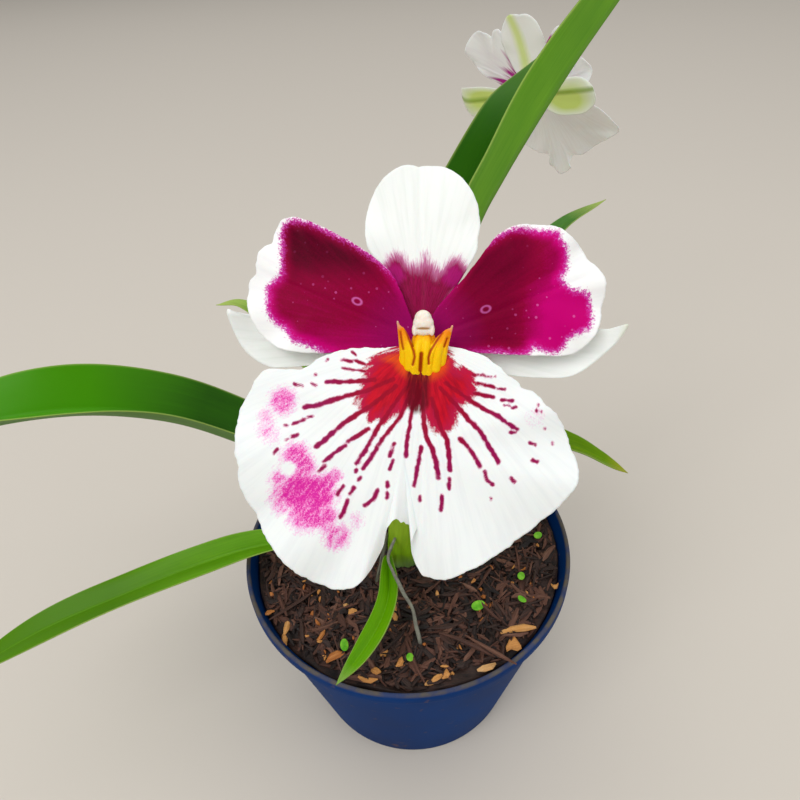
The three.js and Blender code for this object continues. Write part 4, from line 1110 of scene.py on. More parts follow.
def petal_tissue(name, ring_mark):
    """Velvety tissue: white with magenta dye that is ragged along the veins, pale behind."""
    finish, add, shader = new_finish(name, IOR=1.4, Specular_IOR_Level=0.05, Subsurface_Weight=0.05,
                                     Subsurface_Scale=0.6 * MM)
    spot, fibre = (add("Attribute", attribute_name=mark).outputs["Vector"]
                   for mark in ("blade_mm", "fibre"))
    depth, glow, back_dye = (add("Attribute", attribute_name=mark).outputs["Fac"]
                             for mark in ("dye_mm", "glow", "back_dye"))
    way = add("SeparateXYZ", fibre).outputs["Y"]
    ragged = add("Mapping", fibre, Scale=(3.2, 1.1, 0.0))
    rag = add("TexNoise", ragged, Scale=1.0, Detail=5.0, Roughness=0.68)
    veined = add("Mapping", fibre, Scale=(1.1, 0.06, 0.0))
    vein = add("TexNoise", veined, Scale=1.0, Detail=3.0, Roughness=0.6)
    cells = add("TexNoise", spot, Scale=2.6, Detail=3.0, Roughness=0.65)
    white = add("ValToRGB", vein, stops=[(0.35, PETAL_VEIN), (0.55, PETAL_WHITE)])
    shifted = add("Math MULTIPLY_ADD", rag, 2.8, depth)
    dotted = add("Math MULTIPLY_ADD", cells, 3.0, shifted)
    feather = add("MapRange", dotted, 2.0, 2.9)
    solid = add("MapRange", dotted, 2.6, 3.9)
    # The dye's tone is partly painted shade: its dark end stands partly for shade on the upper
    # petal.
    mottled = add("Math MULTIPLY_ADD", cells, 0.25, glow)
    streaked = add("Math MULTIPLY_ADD", vein, 0.25, mottled)
    depth_of_dye = add("Math SUBTRACT", streaked, 0.25)
    dye = add("ValToRGB", depth_of_dye,
              stops=[(0.05, MAGENTA_DARK), (0.5, MAGENTA), (0.95, MAGENTA_BRIGHT)])
    purple = add("MapRange", way, 15.0, 4.0, To_Max=0.75)
    specks = add("TexVoronoi", spot, Scale=0.75)
    cell_draw = add("SeparateColor", specks.outputs["Color"])
    odd = add("Math POWER", cell_draw, 2.5)
    speck_reach = add("Math MULTIPLY_ADD", odd, 0.3, -0.03)
    freckled = add("Math LESS_THAN", specks, speck_reach)
    patch = add("TexNoise", spot, Scale=0.16, Detail=2.0)
    patched = add("Math MULTIPLY_ADD", patch, 0.7, glow)
    glowing = add("MapRange", patched, 0.65, 1.15, 0.06, 0.65)
    showing = add("Math MULTIPLY", freckled, glowing)
    from_mark = add("VectorMath SUBTRACT", spot, (*ring_mark[:2], 1))
    squashed = add("VectorMath MULTIPLY", from_mark, RING_SQUASH)
    off_mark = add("VectorMath LENGTH", squashed)
    off_circle = add("Math SUBTRACT", off_mark, RING_RADIUS)
    off_ring = add("Math ABSOLUTE", off_circle)
    ringed = add("MapRange", off_ring, 0.42, 0.08, To_Max=ring_mark[2])
    for cover, colour in ((purple, MAGENTA_FOOT), (showing, MAGENTA_FRECKLE), (ringed, RING_PINK)):
        dye = add("Mix RGBA", cover, dye, colour)
    pinked = add("Mix RGBA", feather, white, MAGENTA_FEATHER)
    face = add("Mix RGBA", solid, pinked, dye)
    through = add("MapRange", depth, From_Max=6.0, To_Max=0.07)
    near_foot = add("MapRange", way, 30.0, 9.0, To_Max=0.4)
    banded = add("Mapping", fibre, Scale=(0.3, 0.025, 0.0))
    band = add("TexNoise", banded, Scale=1.0, Detail=2.0)
    stripe = add("Math ADD", band, near_foot)
    lined = add("MapRange", stripe, 0.66, 0.8)
    zoned = add("Math MAXIMUM", lined, back_dye)
    shown = add("Math MAXIMUM", through, zoned)
    behind = add("Mix RGBA", shown, white, BACK_STREAK)
    two_faced(add, shader, add("SeparateXYZ", spot).outputs["Z"], behind, face, cells, vein)
    return finish


PETALS = (
    ("front", "left", LEFT_PETAL, left_petal_marks, LEFT_NICKS),
    ("front", "right", RIGHT_PETAL, right_petal_marks, RIGHT_NICKS),
    ("rear", "left", REAR_LEFT_PETAL, rear_left_petal_marks, ()),
    ("rear", "right", REAR_RIGHT_PETAL, right_petal_marks, ()),
)
PETAL_LIES = {"left": ((-21, 9), 157), "right": ((22, 9), 21)}
petal_skins = {side: petal_tissue(side + "_petal_velvet_tissue", ring_mark)
               for side, ring_mark in RING_MARKS.items()}
for flower, side, outline, petal_marks, nicks in PETALS:
    rings, steps = (44, 16) if flower == "front" else (22, 10)
    blade(flower, side + "_petal", "petal", outline, *PETAL_LIES[side], rings, steps,
          petal_skins[side], petal_marks, scallop=0.2, nicks=nicks)

# Lips
# The third petal, grown out into a broad two-lobed skirt, with a ruffled edge and a callus on
# its claw. It is the thinnest and whitest tissue, printed with a red fan and crimson streaks
# that follow its veins.

LIP = [
    (-3, -1), (-9, -1.6), (-15, -1.8), (-21, -3.4), (-26, -6.2), (-33.5, -6.5), (-37, -10.5),
    (-40, -17.5), (-40, -25), (-38, -34), (-35.5, -39), (-32, -45), (-27.5, -49.5), (-23.5, -52.5),
    (-19, -54), (-14, -52.5), (-11, -49.5), (-8.3, -44.6), (-7.6, -40.8), (-5.6, -38.6),
    (-3.2, -39.6), (-0.8, -40), (-2, -42.4), (-2, -46), (0.4, -51), (5, -51.3), (11.5, -48.5),
    (19.5, -44), (26.5, -38.5), (32, -32.5), (33.5, -28), (32, -22), (29.5, -17), (26.5, -13.5),
    (22.5, -9.8), (18.5, -7), (14, -3.6), (8, -1.8), (3, -1)]
REAR_LIP = [
    (-3, -1), (-14, -2), (-24, -3.2), (-33, -4.8), (-41, -9.5), (-46.5, -19), (-40.4, -24.6),
    (-32, -31.8), (-23, -39), (-14.5, -43), (-12.4, -47.5), (-12.4, -51.5), (-8.9, -54.9),
    (-3.3, -56), (0.5, -53.3), (1.4, -48.6), (3, -45.5), (9, -43), (20, -39.5), (28, -30),
    (31, -18), (25, -8), (14, -3), (3, -1)]
STREAKS = [
    (1.0, [(-20.2, -9.3), (-14, -9.2), (-10, -8.8)]), (0.5, [(-17, -6.3), (-12, -7)]),
    (0.7, [(-17.3, -4.6), (-15, -4.8)]), (0.7, [(-14, -4.8), (-12, -5.5)]),
    (0.5, [(-15, -2.6), (-14.2, -3.4)]),
    (1.1, [(-25, -14.7), (-22, -14.2), (-19, -13.2), (-15, -12), (-12, -11.3)]),
    (1.1, [(-22.3, -23), (-20, -21.2), (-18, -19.3), (-16.5, -18), (-13, -15.8), (-11, -14.5)]),
    (0.9, [(-15.5, -21.8), (-11.3, -19.3)]), (0.9, [(-20.5, -26), (-18, -24), (-16.2, -22.8)]),
    (0.8, [(-21.8, -28.2), (-20.3, -27)]),
    (1.0, [(-13.7, -26.5), (-11.5, -23), (-9.5, -19.5), (-8, -17), (-6.5, -15)]),
    (0.9, [(-12.3, -27.5), (-10.5, -25), (-8.5, -21.5), (-6, -18.5), (-4.5, -16.5)]),
    (0.9, [(-6.7, -24.8), (-5.8, -22.3)]), (0.8, [(-6.8, -27.6), (-6, -25.8)]),
    (0.9, [(-3.4, -25), (-3.1, -21.5), (-2.3, -17), (-2, -13.5)]),
    (0.9, [(-1.6, -31), (-1.1, -28), (-0.5, -25), (-0.1, -23)]),
    (0.9, [(-14.2, -31.6), (-15, -32.8)]), (0.8, [(-16.6, -31.2), (-17.7, -33)]),
    (0.9, [(-9.3, -32.2), (-10.3, -34), (-12, -35.3)]),
    (0.9, [(-15.6, -34.3), (-16.4, -36.4), (-17.2, -37.9)]), (0.9, [(-7.2, -30.4), (-7.2, -31.2)]),
    (0.9, [(-7.3, -32.8), (-7.3, -33.6)]), (0.7, [(-0.4, -33.4), (-0.4, -34.2)]),
    (0.8, [(-13.8, -27.9), (-13.8, -28.1)]), (0.9, [(-12.9, -29.5), (-13.4, -30)]),
    (0.7, [(-20.3, -4.4), (-20.3, -4.6)]), (0.7, [(-22.7, -7.7), (-22.7, -7.9)]),
    (0.8, [(-23.5, -9.6), (-22.6, -10)]), (0.8, [(-27.3, -9.6), (-26.8, -9.9)]),
    (0.7, [(-25.6, -10), (-25.6, -10.2)]), (0.7, [(-24, -16.7), (-23.3, -16.7)]),
    (0.8, [(-25.2, -17.4), (-27.5, -18.2)]), (0.6, [(-28.7, -18.6), (-29.3, -18.6)]),
    (0.8, [(-26.4, -20.5), (-27.5, -20.9)]), (0.6, [(-28.3, -21.3), (-28.9, -21.6)]),
    (0.7, [(-30.6, -23.5), (-31.3, -24.4)]),
    (1.1, [(0.4, -18), (1, -21), (2.2, -23.5), (3, -26.5), (3.5, -29.5)]),
    (1.1, [(4.2, -19.5), (5.3, -21.5), (5.6, -24), (5.9, -27.8)]),
    (0.9, [(5.8, -29.7), (5.7, -31.7)]), (0.9, [(4.1, -33.2), (4.1, -36.2)]),
    (1.0, [(8, -21.3), (10, -23.4), (11.3, -25.3), (12.2, -27.1)]),
    (0.9, [(13.1, -28.1), (13.8, -30.1), (14.8, -30.9)]),
    (1.1, [(8, -15), (10, -17.5), (12, -19.4), (13.7, -22), (15, -24.3), (16.1, -26.2)]),
    (1.0, [(10, -13), (13, -15), (16, -16.4), (18, -18), (20.2, -19.3)]),
    (0.7, [(18.6, -20), (19.8, -20)]), (0.9, [(11, -11.7), (15.3, -12.5)]),
    (0.7, [(12, -9.5), (15.5, -10.4)]), (0.6, [(16.3, -10.7), (17.7, -10.8)]),
    (0.6, [(11, -7.8), (13.3, -7.8)]), (0.5, [(13.6, -8.1), (15.7, -8.2)]),
    (0.8, [(17, -13.2), (19.3, -13.3)]), (0.6, [(17.5, -14.2), (18.5, -14.3)]),
    (0.6, [(19.2, -14.8), (20, -14.6)]), (0.8, [(23, -22.3), (24.2, -22.7)]),
    (0.8, [(23.5, -25.8), (24.4, -26.2)]), (0.8, [(18.6, -29.5), (19.5, -30.3)]),
    (0.7, [(14.6, -33.9), (14.6, -34.1)]), (0.6, [(26.2, -19.2), (26.2, -19.4)]),
    (0.6, [(28, -22.3), (28, -22.5)]), (0.4, [(24.8, -14.1), (24.8, -14.3)]),
    (0.4, [(24.3, -15.3), (24.3, -15.5)]), (0.4, [(25.4, -15.5), (25.4, -15.7)])]
RED_FAN = [
    (-5, -2), (-9, -3.4), (-11, -5), (-12, -8), (-12.5, -11), (-13.5, -14), (-11, -17), (-8, -17.5),
    (-4, -15), (-2.5, -14), (0, -14.5), (1, -17), (3, -19.5), (6, -19.5), (7.5, -16.5), (8, -14),
    (10.5, -12.5), (11.5, -10), (10.5, -7), (7, -6), (5.5, -2)]
PINK_DISCS = [
    (-26.5, -25.2, 2.6, 0.8), (-24.8, -27, 2, 0.8), (-29, -30.5, 2.6, 0.7), (-26, -32.5, 4, 1),
    (-22.5, -33, 3.6, 1), (-20, -30.5, 1.8, 0.9), (-18, -29, 1.2, 0.7), (-29.5, -34.5, 2.6, 0.6),
    (-24.5, -36.5, 3.5, 0.85), (-21, -37.5, 2.6, 0.85), (-20, -39.5, 1.8, 0.6),
    (-18, -42, 2.4, 0.65), (-16.8, -41.5, 1.6, 0.6), (-13.8, -38.6, 1.4, 0.3),
    (-29.8, -13.3, 2.4, 0.78), (-33, -19, 1.9, 0.45), (-33.5, -16.5, 1.4, 0.45),
    (-32, -21, 1.5, 0.35), (24, -17, 1.6, 0.12)]
LIP_NICKS = [
    (19, -7.3, 2.2, 0.5), (22.3, -10, 1.5, 0.9), (27, -14, 1.4, 0.4), (-5.6, -38.6, 0.6, 0.3),
    (-4.6, -39.1, 0.45, -0.7), (-3.8, -39.3, 0.4, 0.4), (-2.3, -39.8, 0.5, -0.5),
    (-0.8, -40, 0.5, 0.5), (-39.6, -27, 1.2, 0.5), (-38.7, -32, 1.2, -0.3),
    (-36.4, -37.5, 1.3, 0.4)]
LIP_WHITE = "#f2f6f5"
LIP_VEIN = "#edf1f1"
LIP_BACK = "#f0f0ec"
LIP_BACK_VEIN = "#f4f5f2"
LIP_BACK_FOOT = "#a58aa8"
BLOTCH_PINK = "#ea3cae"
BLOTCH_PALE = "#f29edb"
BLOTCH_DEEP = "#d4209a"
STREAK_CRIMSON = "#930d4e"
STREAK_RED = "#98062c"
STREAK_EDGE = "#c84f8c"
STREAK_ROOT = "#840526"
FAN_RED = "#c90f28"
FAN_DEEP = "#a00522"
FAN_DARK = "#640016"
FAN_ORANGE = "#e8590e"
FAN_EDGE = "#b61846"
PALE_EYE = (-28.3, -27.6)
EYE_RADIUS = 2.1
FAN_FLAME = [(-0.6, -7.6), (-0.9, -10.5), (-1, -13.4)]
FLAME_REACH = 3.7
THROAT_REACH = 6.6
STREAK_ORIGIN = (0, -6)
STREAK_HALF = 0.42
ROOTED_WITHIN = 16
UNMARKED = 9.0


def rooted(line):
    """A streak's line, drawn on towards the callus where it is long and starts near it."""
    away = [math.dist(point, STREAK_ORIGIN) for point in line]
    if len(line) <= 3 or min(away) >= ROOTED_WITHIN:
        return line
    inner = line[away.index(min(away))]
    root = np.mean([inner, STREAK_ORIGIN], 0)
    return [root, *line] if inner == line[0] else [*line, root]


def off_strokes(points, strokes, share):
    """Each point's distance in mm to the nearest stroke, less that share of its width."""
    nearest = np.full(len(points), UNMARKED)
    for width, line in strokes:
        least, _ = along_segments(points, line, False)
        nearest = np.minimum(nearest, least - share * width)
    return nearest


def front_lip_marks(flat):
    """The distances to the streaks and into the fan, the blotch and the fan's dark and orange."""
    x, y = flat.T
    streak = off_strokes(flat, [(width, rooted(line)) for width, line in STREAKS], STREAK_HALF)
    blush = np.zeros(len(flat))
    for disc_x, disc_y, radius, strength in PINK_DISCS:
        away = np.hypot(x - disc_x, y - disc_y)
        blush = np.maximum(blush, strength * smooth_step((1.75 * radius - away) / (1.2 * radius)))
    blush *= 1 - smooth_step((EYE_RADIUS - np.hypot(x - PALE_EYE[0], y - PALE_EYE[1])) / 0.9)
    off_flame, _ = along_segments(flat, FAN_FLAME, False)
    dark = smooth_step((FLAME_REACH - off_flame) / 2.2)
    throat = smooth_step((THROAT_REACH - np.hypot((x - 0.2) / 1.15, y + 3.6)) / 3)
    wings = 0.85 * smooth_step((1.25 - np.hypot(x / 10, (y + 3.7) / 1.9)) / 0.6)
    return {"streak_mm": streak, "fan_mm": depth_inside(flat, RED_FAN), "blush": blush,
            "fan_dark": dark, "fan_orange": np.maximum(throat, wings)}


def rear_lip_marks(flat):
    """No streaks, and a plain round fan: the rear lip is seen from behind."""
    x, y = flat.T
    return {"streak_mm": 0 * x + UNMARKED, "fan_mm": 9 - np.hypot(x, y + 8)}


def lip_tissue():
    """The whitest, thinnest tissue, with its pink blotch, crimson streaks and red fan."""
    finish, add, shader = new_finish("lip_printed_tissue", IOR=1.4, Specular_IOR_Level=0.1,
                                     Subsurface_Weight=0.12, Subsurface_Scale=0.6 * MM)
    spot, fibre = (add("Attribute", attribute_name=mark).outputs["Vector"]
                   for mark in ("blade_mm", "fibre"))
    streak, fan, blush, dark, orange = (
        add("Attribute", attribute_name=mark).outputs["Fac"]
        for mark in ("streak_mm", "fan_mm", "blush", "fan_dark", "fan_orange"))
    veined = add("Mapping", fibre, Scale=(1.4, 0.05, 0.0))
    vein = add("TexNoise", veined, Scale=1.0, Detail=4.0, Roughness=0.6)
    cells = add("TexNoise", spot, Scale=2.2, Detail=4.0, Roughness=0.7)
    ragged = add("Mapping", fibre, Scale=(2.4, 0.32, 0.0))
    rag = add("TexNoise", ragged, Scale=1.0, Detail=4.0, Roughness=0.7)
    white = add("ValToRGB", vein, stops=[(0.38, LIP_VEIN), (0.55, LIP_WHITE)])
    dotted = add("TexNoise", spot, Scale=3.6, Detail=2.0)
    speckled = add("Math MULTIPLY_ADD", dotted, 1.2, blush)
    ragged_blush = add("Math MULTIPLY_ADD", rag, 1.5, speckled)
    faint = add("MapRange", ragged_blush, 1.4, 2.0, To_Max=0.85)
    strong = add("MapRange", ragged_blush, 1.82, 2.35)
    some = add("Math GREATER_THAN", blush, 0.02)
    faintly = add("Math MULTIPLY", faint, some)
    strongly = add("Math MULTIPLY", strong, some)
    core = add("MapRange", ragged_blush, 2.1, 2.5, To_Max=0.75)
    knots = add("TexNoise", spot, Scale=0.75, Detail=1.0)
    knotted = add("Math MULTIPLY_ADD", knots, 0.7, streak)
    broken = add("Math MULTIPLY_ADD", cells, 0.25, knotted)
    bleed = add("MapRange", broken, 0.75, 0.48, To_Max=0.75)
    line = add("MapRange", broken, 0.56, 0.36)
    redder = add("MapRange", fan, -8.0, -1.0)
    ink = add("Mix RGBA", redder, STREAK_CRIMSON, STREAK_RED)
    fan_rays = add("Mapping", fibre, Scale=(0.75, 0.22, 0.0))
    ray = add("TexNoise", fan_rays, Scale=1.0, Detail=2.5, Roughness=0.6)
    frayed = add("Math MULTIPLY_ADD", cells, 2.2, fan)
    fan_rag = add("Math MULTIPLY_ADD", ray, 4.0, frayed)
    fan_edge = add("MapRange", fan_rag, 2.2, 3.2)
    fan_body = add("MapRange", fan_rag, 3.0, 5.6)
    fan_streak = add("ValToRGB", ray, stops=[(0.3, FAN_DEEP), (0.62, FAN_RED)])
    in_fan = add("Math MULTIPLY", line, fan_edge)
    running_in = add("Math MULTIPLY", in_fan, 0.6)
    warmed = add("Math MULTIPLY", orange, fan_body)
    darkly = add("Math MULTIPLY", ray, dark)
    darker = add("MapRange", darkly, 0.12, 0.5, To_Max=0.95)
    face = white
    for cover, colour in (
            (faintly, BLOTCH_PALE), (strongly, BLOTCH_PINK), (core, BLOTCH_DEEP),
            (bleed, STREAK_EDGE), (line, ink), (fan_edge, FAN_EDGE), (fan_body, fan_streak),
            (running_in, STREAK_ROOT), (warmed, FAN_ORANGE), (darker, FAN_DARK)):
        face = add("Mix RGBA", cover, face, colour)
    back_vein = add("ValToRGB", vein, stops=[(0.38, LIP_BACK), (0.6, LIP_BACK_VEIN)])
    near_foot = add("MapRange", add("SeparateXYZ", fibre).outputs["Y"], 16.0, 2.0, To_Max=0.6)
    behind = add("Mix RGBA", near_foot, back_vein, LIP_BACK_FOOT)
    two_faced(add, shader, add("SeparateXYZ", spot).outputs["Z"], behind, face, cells, vein,
              coarse=0.3, depth=0.08)
    return finish


lip_skin = lip_tissue()
blade("front", "lip", "lip", LIP, (-4, -24), -90, 84, 11, lip_skin, front_lip_marks,
      scallop=0.42, nicks=LIP_NICKS)
blade("rear", "lip", "lip", REAR_LIP, (-4, -24), -90, 30, 10, lip_skin, rear_lip_marks,
      scallop=0.28)

# Callus
# Fleshy yellow ridges on the lip's claw that lead an insect to the column: two pairs of folds
# that rise into horns, and two low keels between them with a dark slit. The lip grows them, so
# they are of one body with it.

CALLUS_YELLOW = "#ffcb00"
CALLUS_GOLD = "#fba508"
CALLUS_ORANGE = "#f08502"
CALLUS_TIP = "#d9b7a6"
CALLUS_LINE = "#a81406"
CALLUS_VOXEL = 0.15
SMOOTHINGS = 4
FOLD_STATIONS = 26
FOLD_SIDES = 16
BALL_RINGS = 17
BALL_SIDES = 32
LINE_SUNK = 0.35
FOLDS = [
    ([(-3.6, -4.9, 2.3), (-4.2, -1.2, 4.0), (-5.1, 3.2, 6.2)], 1.05, 0.22),
    ([(-2.7, -6.1, 2.6), (-3.2, -2.2, 4.3), (-4.7, 2.2, 5.7)], 1.1, 0.36),
    ([(-1.7, -7.2, 2.7), (-2.0, -3.8, 4.2), (-3.2, 0.4, 4.9), (-4.2, 1.9, 5.5)], 0.8, 0.36),
    ([(4.2, -5.1, 2.3), (5.0, -1.8, 4.0), (6.3, 2.3, 6.2)], 1.05, 0.22),
    ([(3.0, -6.4, 2.6), (3.7, -2.6, 4.3), (5.6, 1.5, 5.7)], 1.1, 0.36),
    ([(1.5, -7.5, 2.7), (1.8, -4.0, 4.2), (3.2, -0.6, 4.9), (5.1, 1.3, 5.5)], 0.8, 0.36),
    ([(-0.9, -7.4, 2.8), (-1.0, -4.0, 4.4), (-0.6, -1.0, 4.5), (-0.3, 1.4, 3.4)], 0.6, 1.1),
    ([(0.6, -7.5, 2.8), (0.7, -4.0, 4.4), (1.0, -1.0, 4.5), (0.9, 1.4, 3.4)], 0.6, 1.1),
]
MOUNDS = [((0.1, -4.5, 2.0), (5.2, 3.3, 1.9)), ((0.5, -0.9, 2.6), (2.7, 3.0, 2.1))]
CALLUS_LINES = [
    (0.75, [(-0.1, -3.4), (-0.2, -5), (-0.3, -6.8)]),
    (0.44, [(-3.3, 1.6), (-2.6, -0.6), (-1.7, -2.9), (-1.5, -4.1), (-1.9, -5.7)]),
    (0.3, [(-4.5, 1.1), (-4.2, -1.0), (-3.9, -2.4)]),
    (0.44, [(4.2, 0.9), (3, -0.9), (1.8, -2.9), (1.4, -4.2), (1.5, -5.5)]),
    (0.3, [(5.3, -0.2), (4.7, -1.9)])]


def ball(centre, radii):
    turn = np.linspace(-np.pi / 2, np.pi / 2, BALL_RINGS)
    profile = [(0, -1)] + [(math.cos(a), math.sin(a)) for a in turn[1:-1]] + [(0, 1)]
    points, faces = turned(profile, BALL_SIDES)
    return np.array(points) * radii + centre, faces


def grown_together(parts, voxel, finish):
    """One closed skin, in mm, over bodies that overlap."""
    body = new_piece("growing", *joined(parts), finish)
    merging = body.modifiers.new("merging", "REMESH")
    merging.mode = "VOXEL"
    merging.voxel_size = voxel * MM
    softening = body.modifiers.new("softening", "SMOOTH")
    softening.factor = 0.5
    softening.iterations = SMOOTHINGS
    settle(body)
    skin = np.zeros(len(body.data.vertices) * 3)
    body.data.vertices.foreach_get("co", skin)
    faces = [list(polygon.vertices) for polygon in body.data.polygons]
    bpy.data.objects.remove(body)
    return skin.reshape(-1, 3) / MM, faces


def callus_flesh():
    """Waxy flesh: yellow keels, orange horns with pale tips, and thin dark red lines."""
    finish, add, shader = new_finish("callus_waxy_flesh", IOR=1.42, Specular_IOR_Level=0.22,
                                     Subsurface_Weight=0.15, Subsurface_Scale=0.6 * MM)
    spot = add("Attribute", attribute_name="flesh_mm").outputs["Vector"]
    line = add("Attribute", attribute_name="line_mm").outputs["Fac"]
    place = add("SeparateXYZ", spot)
    fleck = add("TexNoise", spot, Scale=1.1, Detail=4.0)
    outward = add("Math ABSOLUTE", place.outputs["X"])
    towards_tip = add("Math MULTIPLY_ADD", outward, 0.55, place.outputs["Y"])
    flecked = add("Math MULTIPLY_ADD", fleck, 2.4, towards_tip)
    rise = add("MapRange", flecked, -5.5, 9.0)
    flesh = add("ValToRGB", rise,
                stops=[(0.0, CALLUS_YELLOW), (0.44, CALLUS_YELLOW), (0.56, CALLUS_GOLD),
                       (0.76, CALLUS_ORANGE), (0.9, CALLUS_TIP)])
    drawn = add("MapRange", line, 0.18, -0.14, To_Max=0.9)
    skin = add("Mix RGBA", drawn, flesh, CALLUS_LINE)
    gloss = add("MapRange", fleck, To_Min=0.35, To_Max=0.6)
    bumps = add("Bump", Height=fleck, Strength=0.35, Distance=0.15 * MM)
    feed(shader, Base_Color=skin, Roughness=gloss, Normal=bumps)
    return finish


callus_skin = callus_flesh()
callus_parts = [ball(centre, radii) for centre, radii in MOUNDS]
for line, foot, tip in FOLDS:
    fold = rope(line, np.linspace(foot, tip, FOLD_STATIONS), FOLD_SIDES)[:2]
    callus_parts += [fold, ball(line[-1], (tip, tip, tip)), ball(line[0], (foot, foot, foot))]
callus_points, callus_faces = grown_together(callus_parts, CALLUS_VOXEL, callus_skin)
line_mm = off_strokes(callus_points[:, :2], CALLUS_LINES, 0.5)
callus_points[:, 2] -= LINE_SUNK * smooth_step((0.25 - line_mm) / 0.4)
for flower, placing in FLOWERS.items():
    new_piece(flower + "_callus", in_world(callus_points, placing), callus_faces, callus_skin,
              slot="lip", marks={"flesh_mm": callus_points, "line_mm": line_mm})

# Column
# The short stout post where stamen and pistil are one: cream, with the anther's cap as a hood
# at its end and the dark slit of the stigma under it. It stands on the ovary.

COLUMN_CREAM = "#f6eee2"
COLUMN_WARM = "#f3e3d2"
COLUMN_SLIT = "#b98a55"
COLUMN_FOOT = "#c9a9b4"
COLUMN_VOXEL = 0.16
COLUMN_LINE = [(0.1, 0.4, -0.6), (0.2, 1.6, 2.4), (0.3, 2.9, 5.0)]
COLUMN_RADII = (1.5, 1.9)
COLUMN_SIDES = 24
COLUMN_BODIES = [((0.25, 3.9, 5.0), (1.85, 1.9, 1.9)), ((0.3, 3.0, 5.2), (2.2, 1.9, 1.7)),
                 ((-1.5, 1.6, 5.2), (0.6, 1.3, 0.9)), ((2.1, 1.6, 5.2), (0.6, 1.3, 0.9)),
                 ((0.3, 1.3, 4.8), (2.0, 0.9, 1.2))]
STIGMA_SLIT = (0.3, 1.75)
SLIT_HALF = (1.4, 0.22)
SLIT_ABOVE = 4
SLIT_SUNK = 0.25


def column_flesh():
    """Waxy cream flesh, warmer in random flecks, with a brown slit and a magenta-tinged foot."""
    finish, add, shader = new_finish("column_waxy_flesh", IOR=1.42, Specular_IOR_Level=0.4,
                                     Subsurface_Weight=0.2, Subsurface_Scale=0.8 * MM)
    spot = add("Attribute", attribute_name="flesh_mm").outputs["Vector"]
    slit = add("Attribute", attribute_name="slit").outputs["Fac"]
    height = add("SeparateXYZ", spot).outputs["Z"]
    fleck = add("TexNoise", spot, Scale=1.4, Detail=3.0)
    cream = add("ValToRGB", fleck, stops=[(0.35, COLUMN_WARM), (0.6, COLUMN_CREAM)])
    low = add("MapRange", height, 3.0, 0.5)
    footed = add("Mix RGBA", low, cream, COLUMN_FOOT)
    skin = add("Mix RGBA", slit, footed, COLUMN_SLIT)
    gloss = add("MapRange", fleck, To_Min=0.35, To_Max=0.55)
    bumps = add("Bump", Height=fleck, Strength=0.25, Distance=0.1 * MM)
    feed(shader, Base_Color=skin, Roughness=gloss, Normal=bumps)
    return finish


column_skin = column_flesh()
post = rope(COLUMN_LINE, np.linspace(*COLUMN_RADII, FOLD_STATIONS), COLUMN_SIDES)[:2]
column_parts = [post] + [ball(centre, radii) for centre, radii in COLUMN_BODIES]
column_points, column_faces = grown_together(column_parts, COLUMN_VOXEL, column_skin)
off_slit = np.hypot(*((column_points[:, :2] - STIGMA_SLIT) / SLIT_HALF).T)
slit = smooth_step((1.35 - off_slit) / 0.7) * (column_points[:, 2] > SLIT_ABOVE)
column_points[:, 2] -= SLIT_SUNK * slit
for flower, placing in FLOWERS.items():
    new_piece(flower + "_column_flesh", in_world(column_points, placing), column_faces,
              column_skin, nodes=[flower + "_column"], slot="column",
              marks={"flesh_mm": column_points, "slit": slit})

# Seedlings
# Moss-like seedlings that have come up by themselves in the bark: a thread of a stem each, with
# one tiny oval leaf. Their stems go down between the shreds.

SEEDLINGS = [
    (21.2, -27.0, 4.5, 3.0, 20), (36.6, -16.7, 3.0, 2.4, 60), (35.2, -25.6, 3.0, 2.3, 130),
    (-0.7, -42.7, 2.6, 2.2, 80), (-20.1, -37.9, 4.0, 2.5, 95), (45.3, -0.6, 3.2, 2.4, 30)]
SEEDLING_RISE = 2.6
SEEDLING_LEAN = 0.25
SEEDLING_CUPPED = 0.06
STEM_RADIUS = 0.22
SEEDLING_THICKNESS = 0.25
SEEDLING_GREEN = "#57a81c"
SEEDLING_PALE = "#8fcf3e"


def seedling_tissue():
    """Thin soft leaf tissue, paler in random flecks."""
    finish, add, shader = new_finish("seedling_leaf_tissue", IOR=1.4, Roughness=0.5,
                                     Specular_IOR_Level=0.25, Subsurface_Weight=0.1,
                                     Subsurface_Scale=0.5 * MM)
    place = add("TexCoord").outputs["Object"]
    fleck = add("TexNoise", place, Scale=420.0, Detail=3.0)
    colour = add("ValToRGB", fleck, stops=[(0.35, SEEDLING_GREEN), (0.7, SEEDLING_PALE)])
    bumps = add("Bump", Height=fleck, Strength=0.2, Distance=0.05 * MM)
    feed(shader, Base_Color=colour, Normal=bumps)
    return finish


seedling_skin = seedling_tissue()
for number, (x, y, length, width, yaw) in enumerate(SEEDLINGS, 1):
    ground = float(mix_height(x, y))
    top = ground + SEEDLING_RISE
    leaf, leaf_faces = ball((0, 0, 0), (length / 2, width / 2, SEEDLING_THICKNESS))
    leaf[:, 2] += SEEDLING_CUPPED * leaf[:, 0] ** 2
    lean = Matrix.Rotation(math.radians(yaw), 3, "Z") @ Matrix.Rotation(SEEDLING_LEAN, 3, "X")
    leaf = leaf @ np.array(lean).T + (x, y, top)
    stem_line = [(x + 0.6, y + 0.8, ground - 2), (x + 0.3, y + 0.5, ground + 1), (x, y, top)]
    stem = rope(stem_line, np.full(8, STEM_RADIUS), 8)[:2]
    new_piece(f"seedling_{number}", *joined([(leaf, leaf_faces), stem]), seedling_skin, slot="leaf")

# Dry sheath
# The papery leaf base that once wrapped the front growth, dead and grey, still fixed at the
# bulb's foot and hanging down to the bark beside the front leaf.

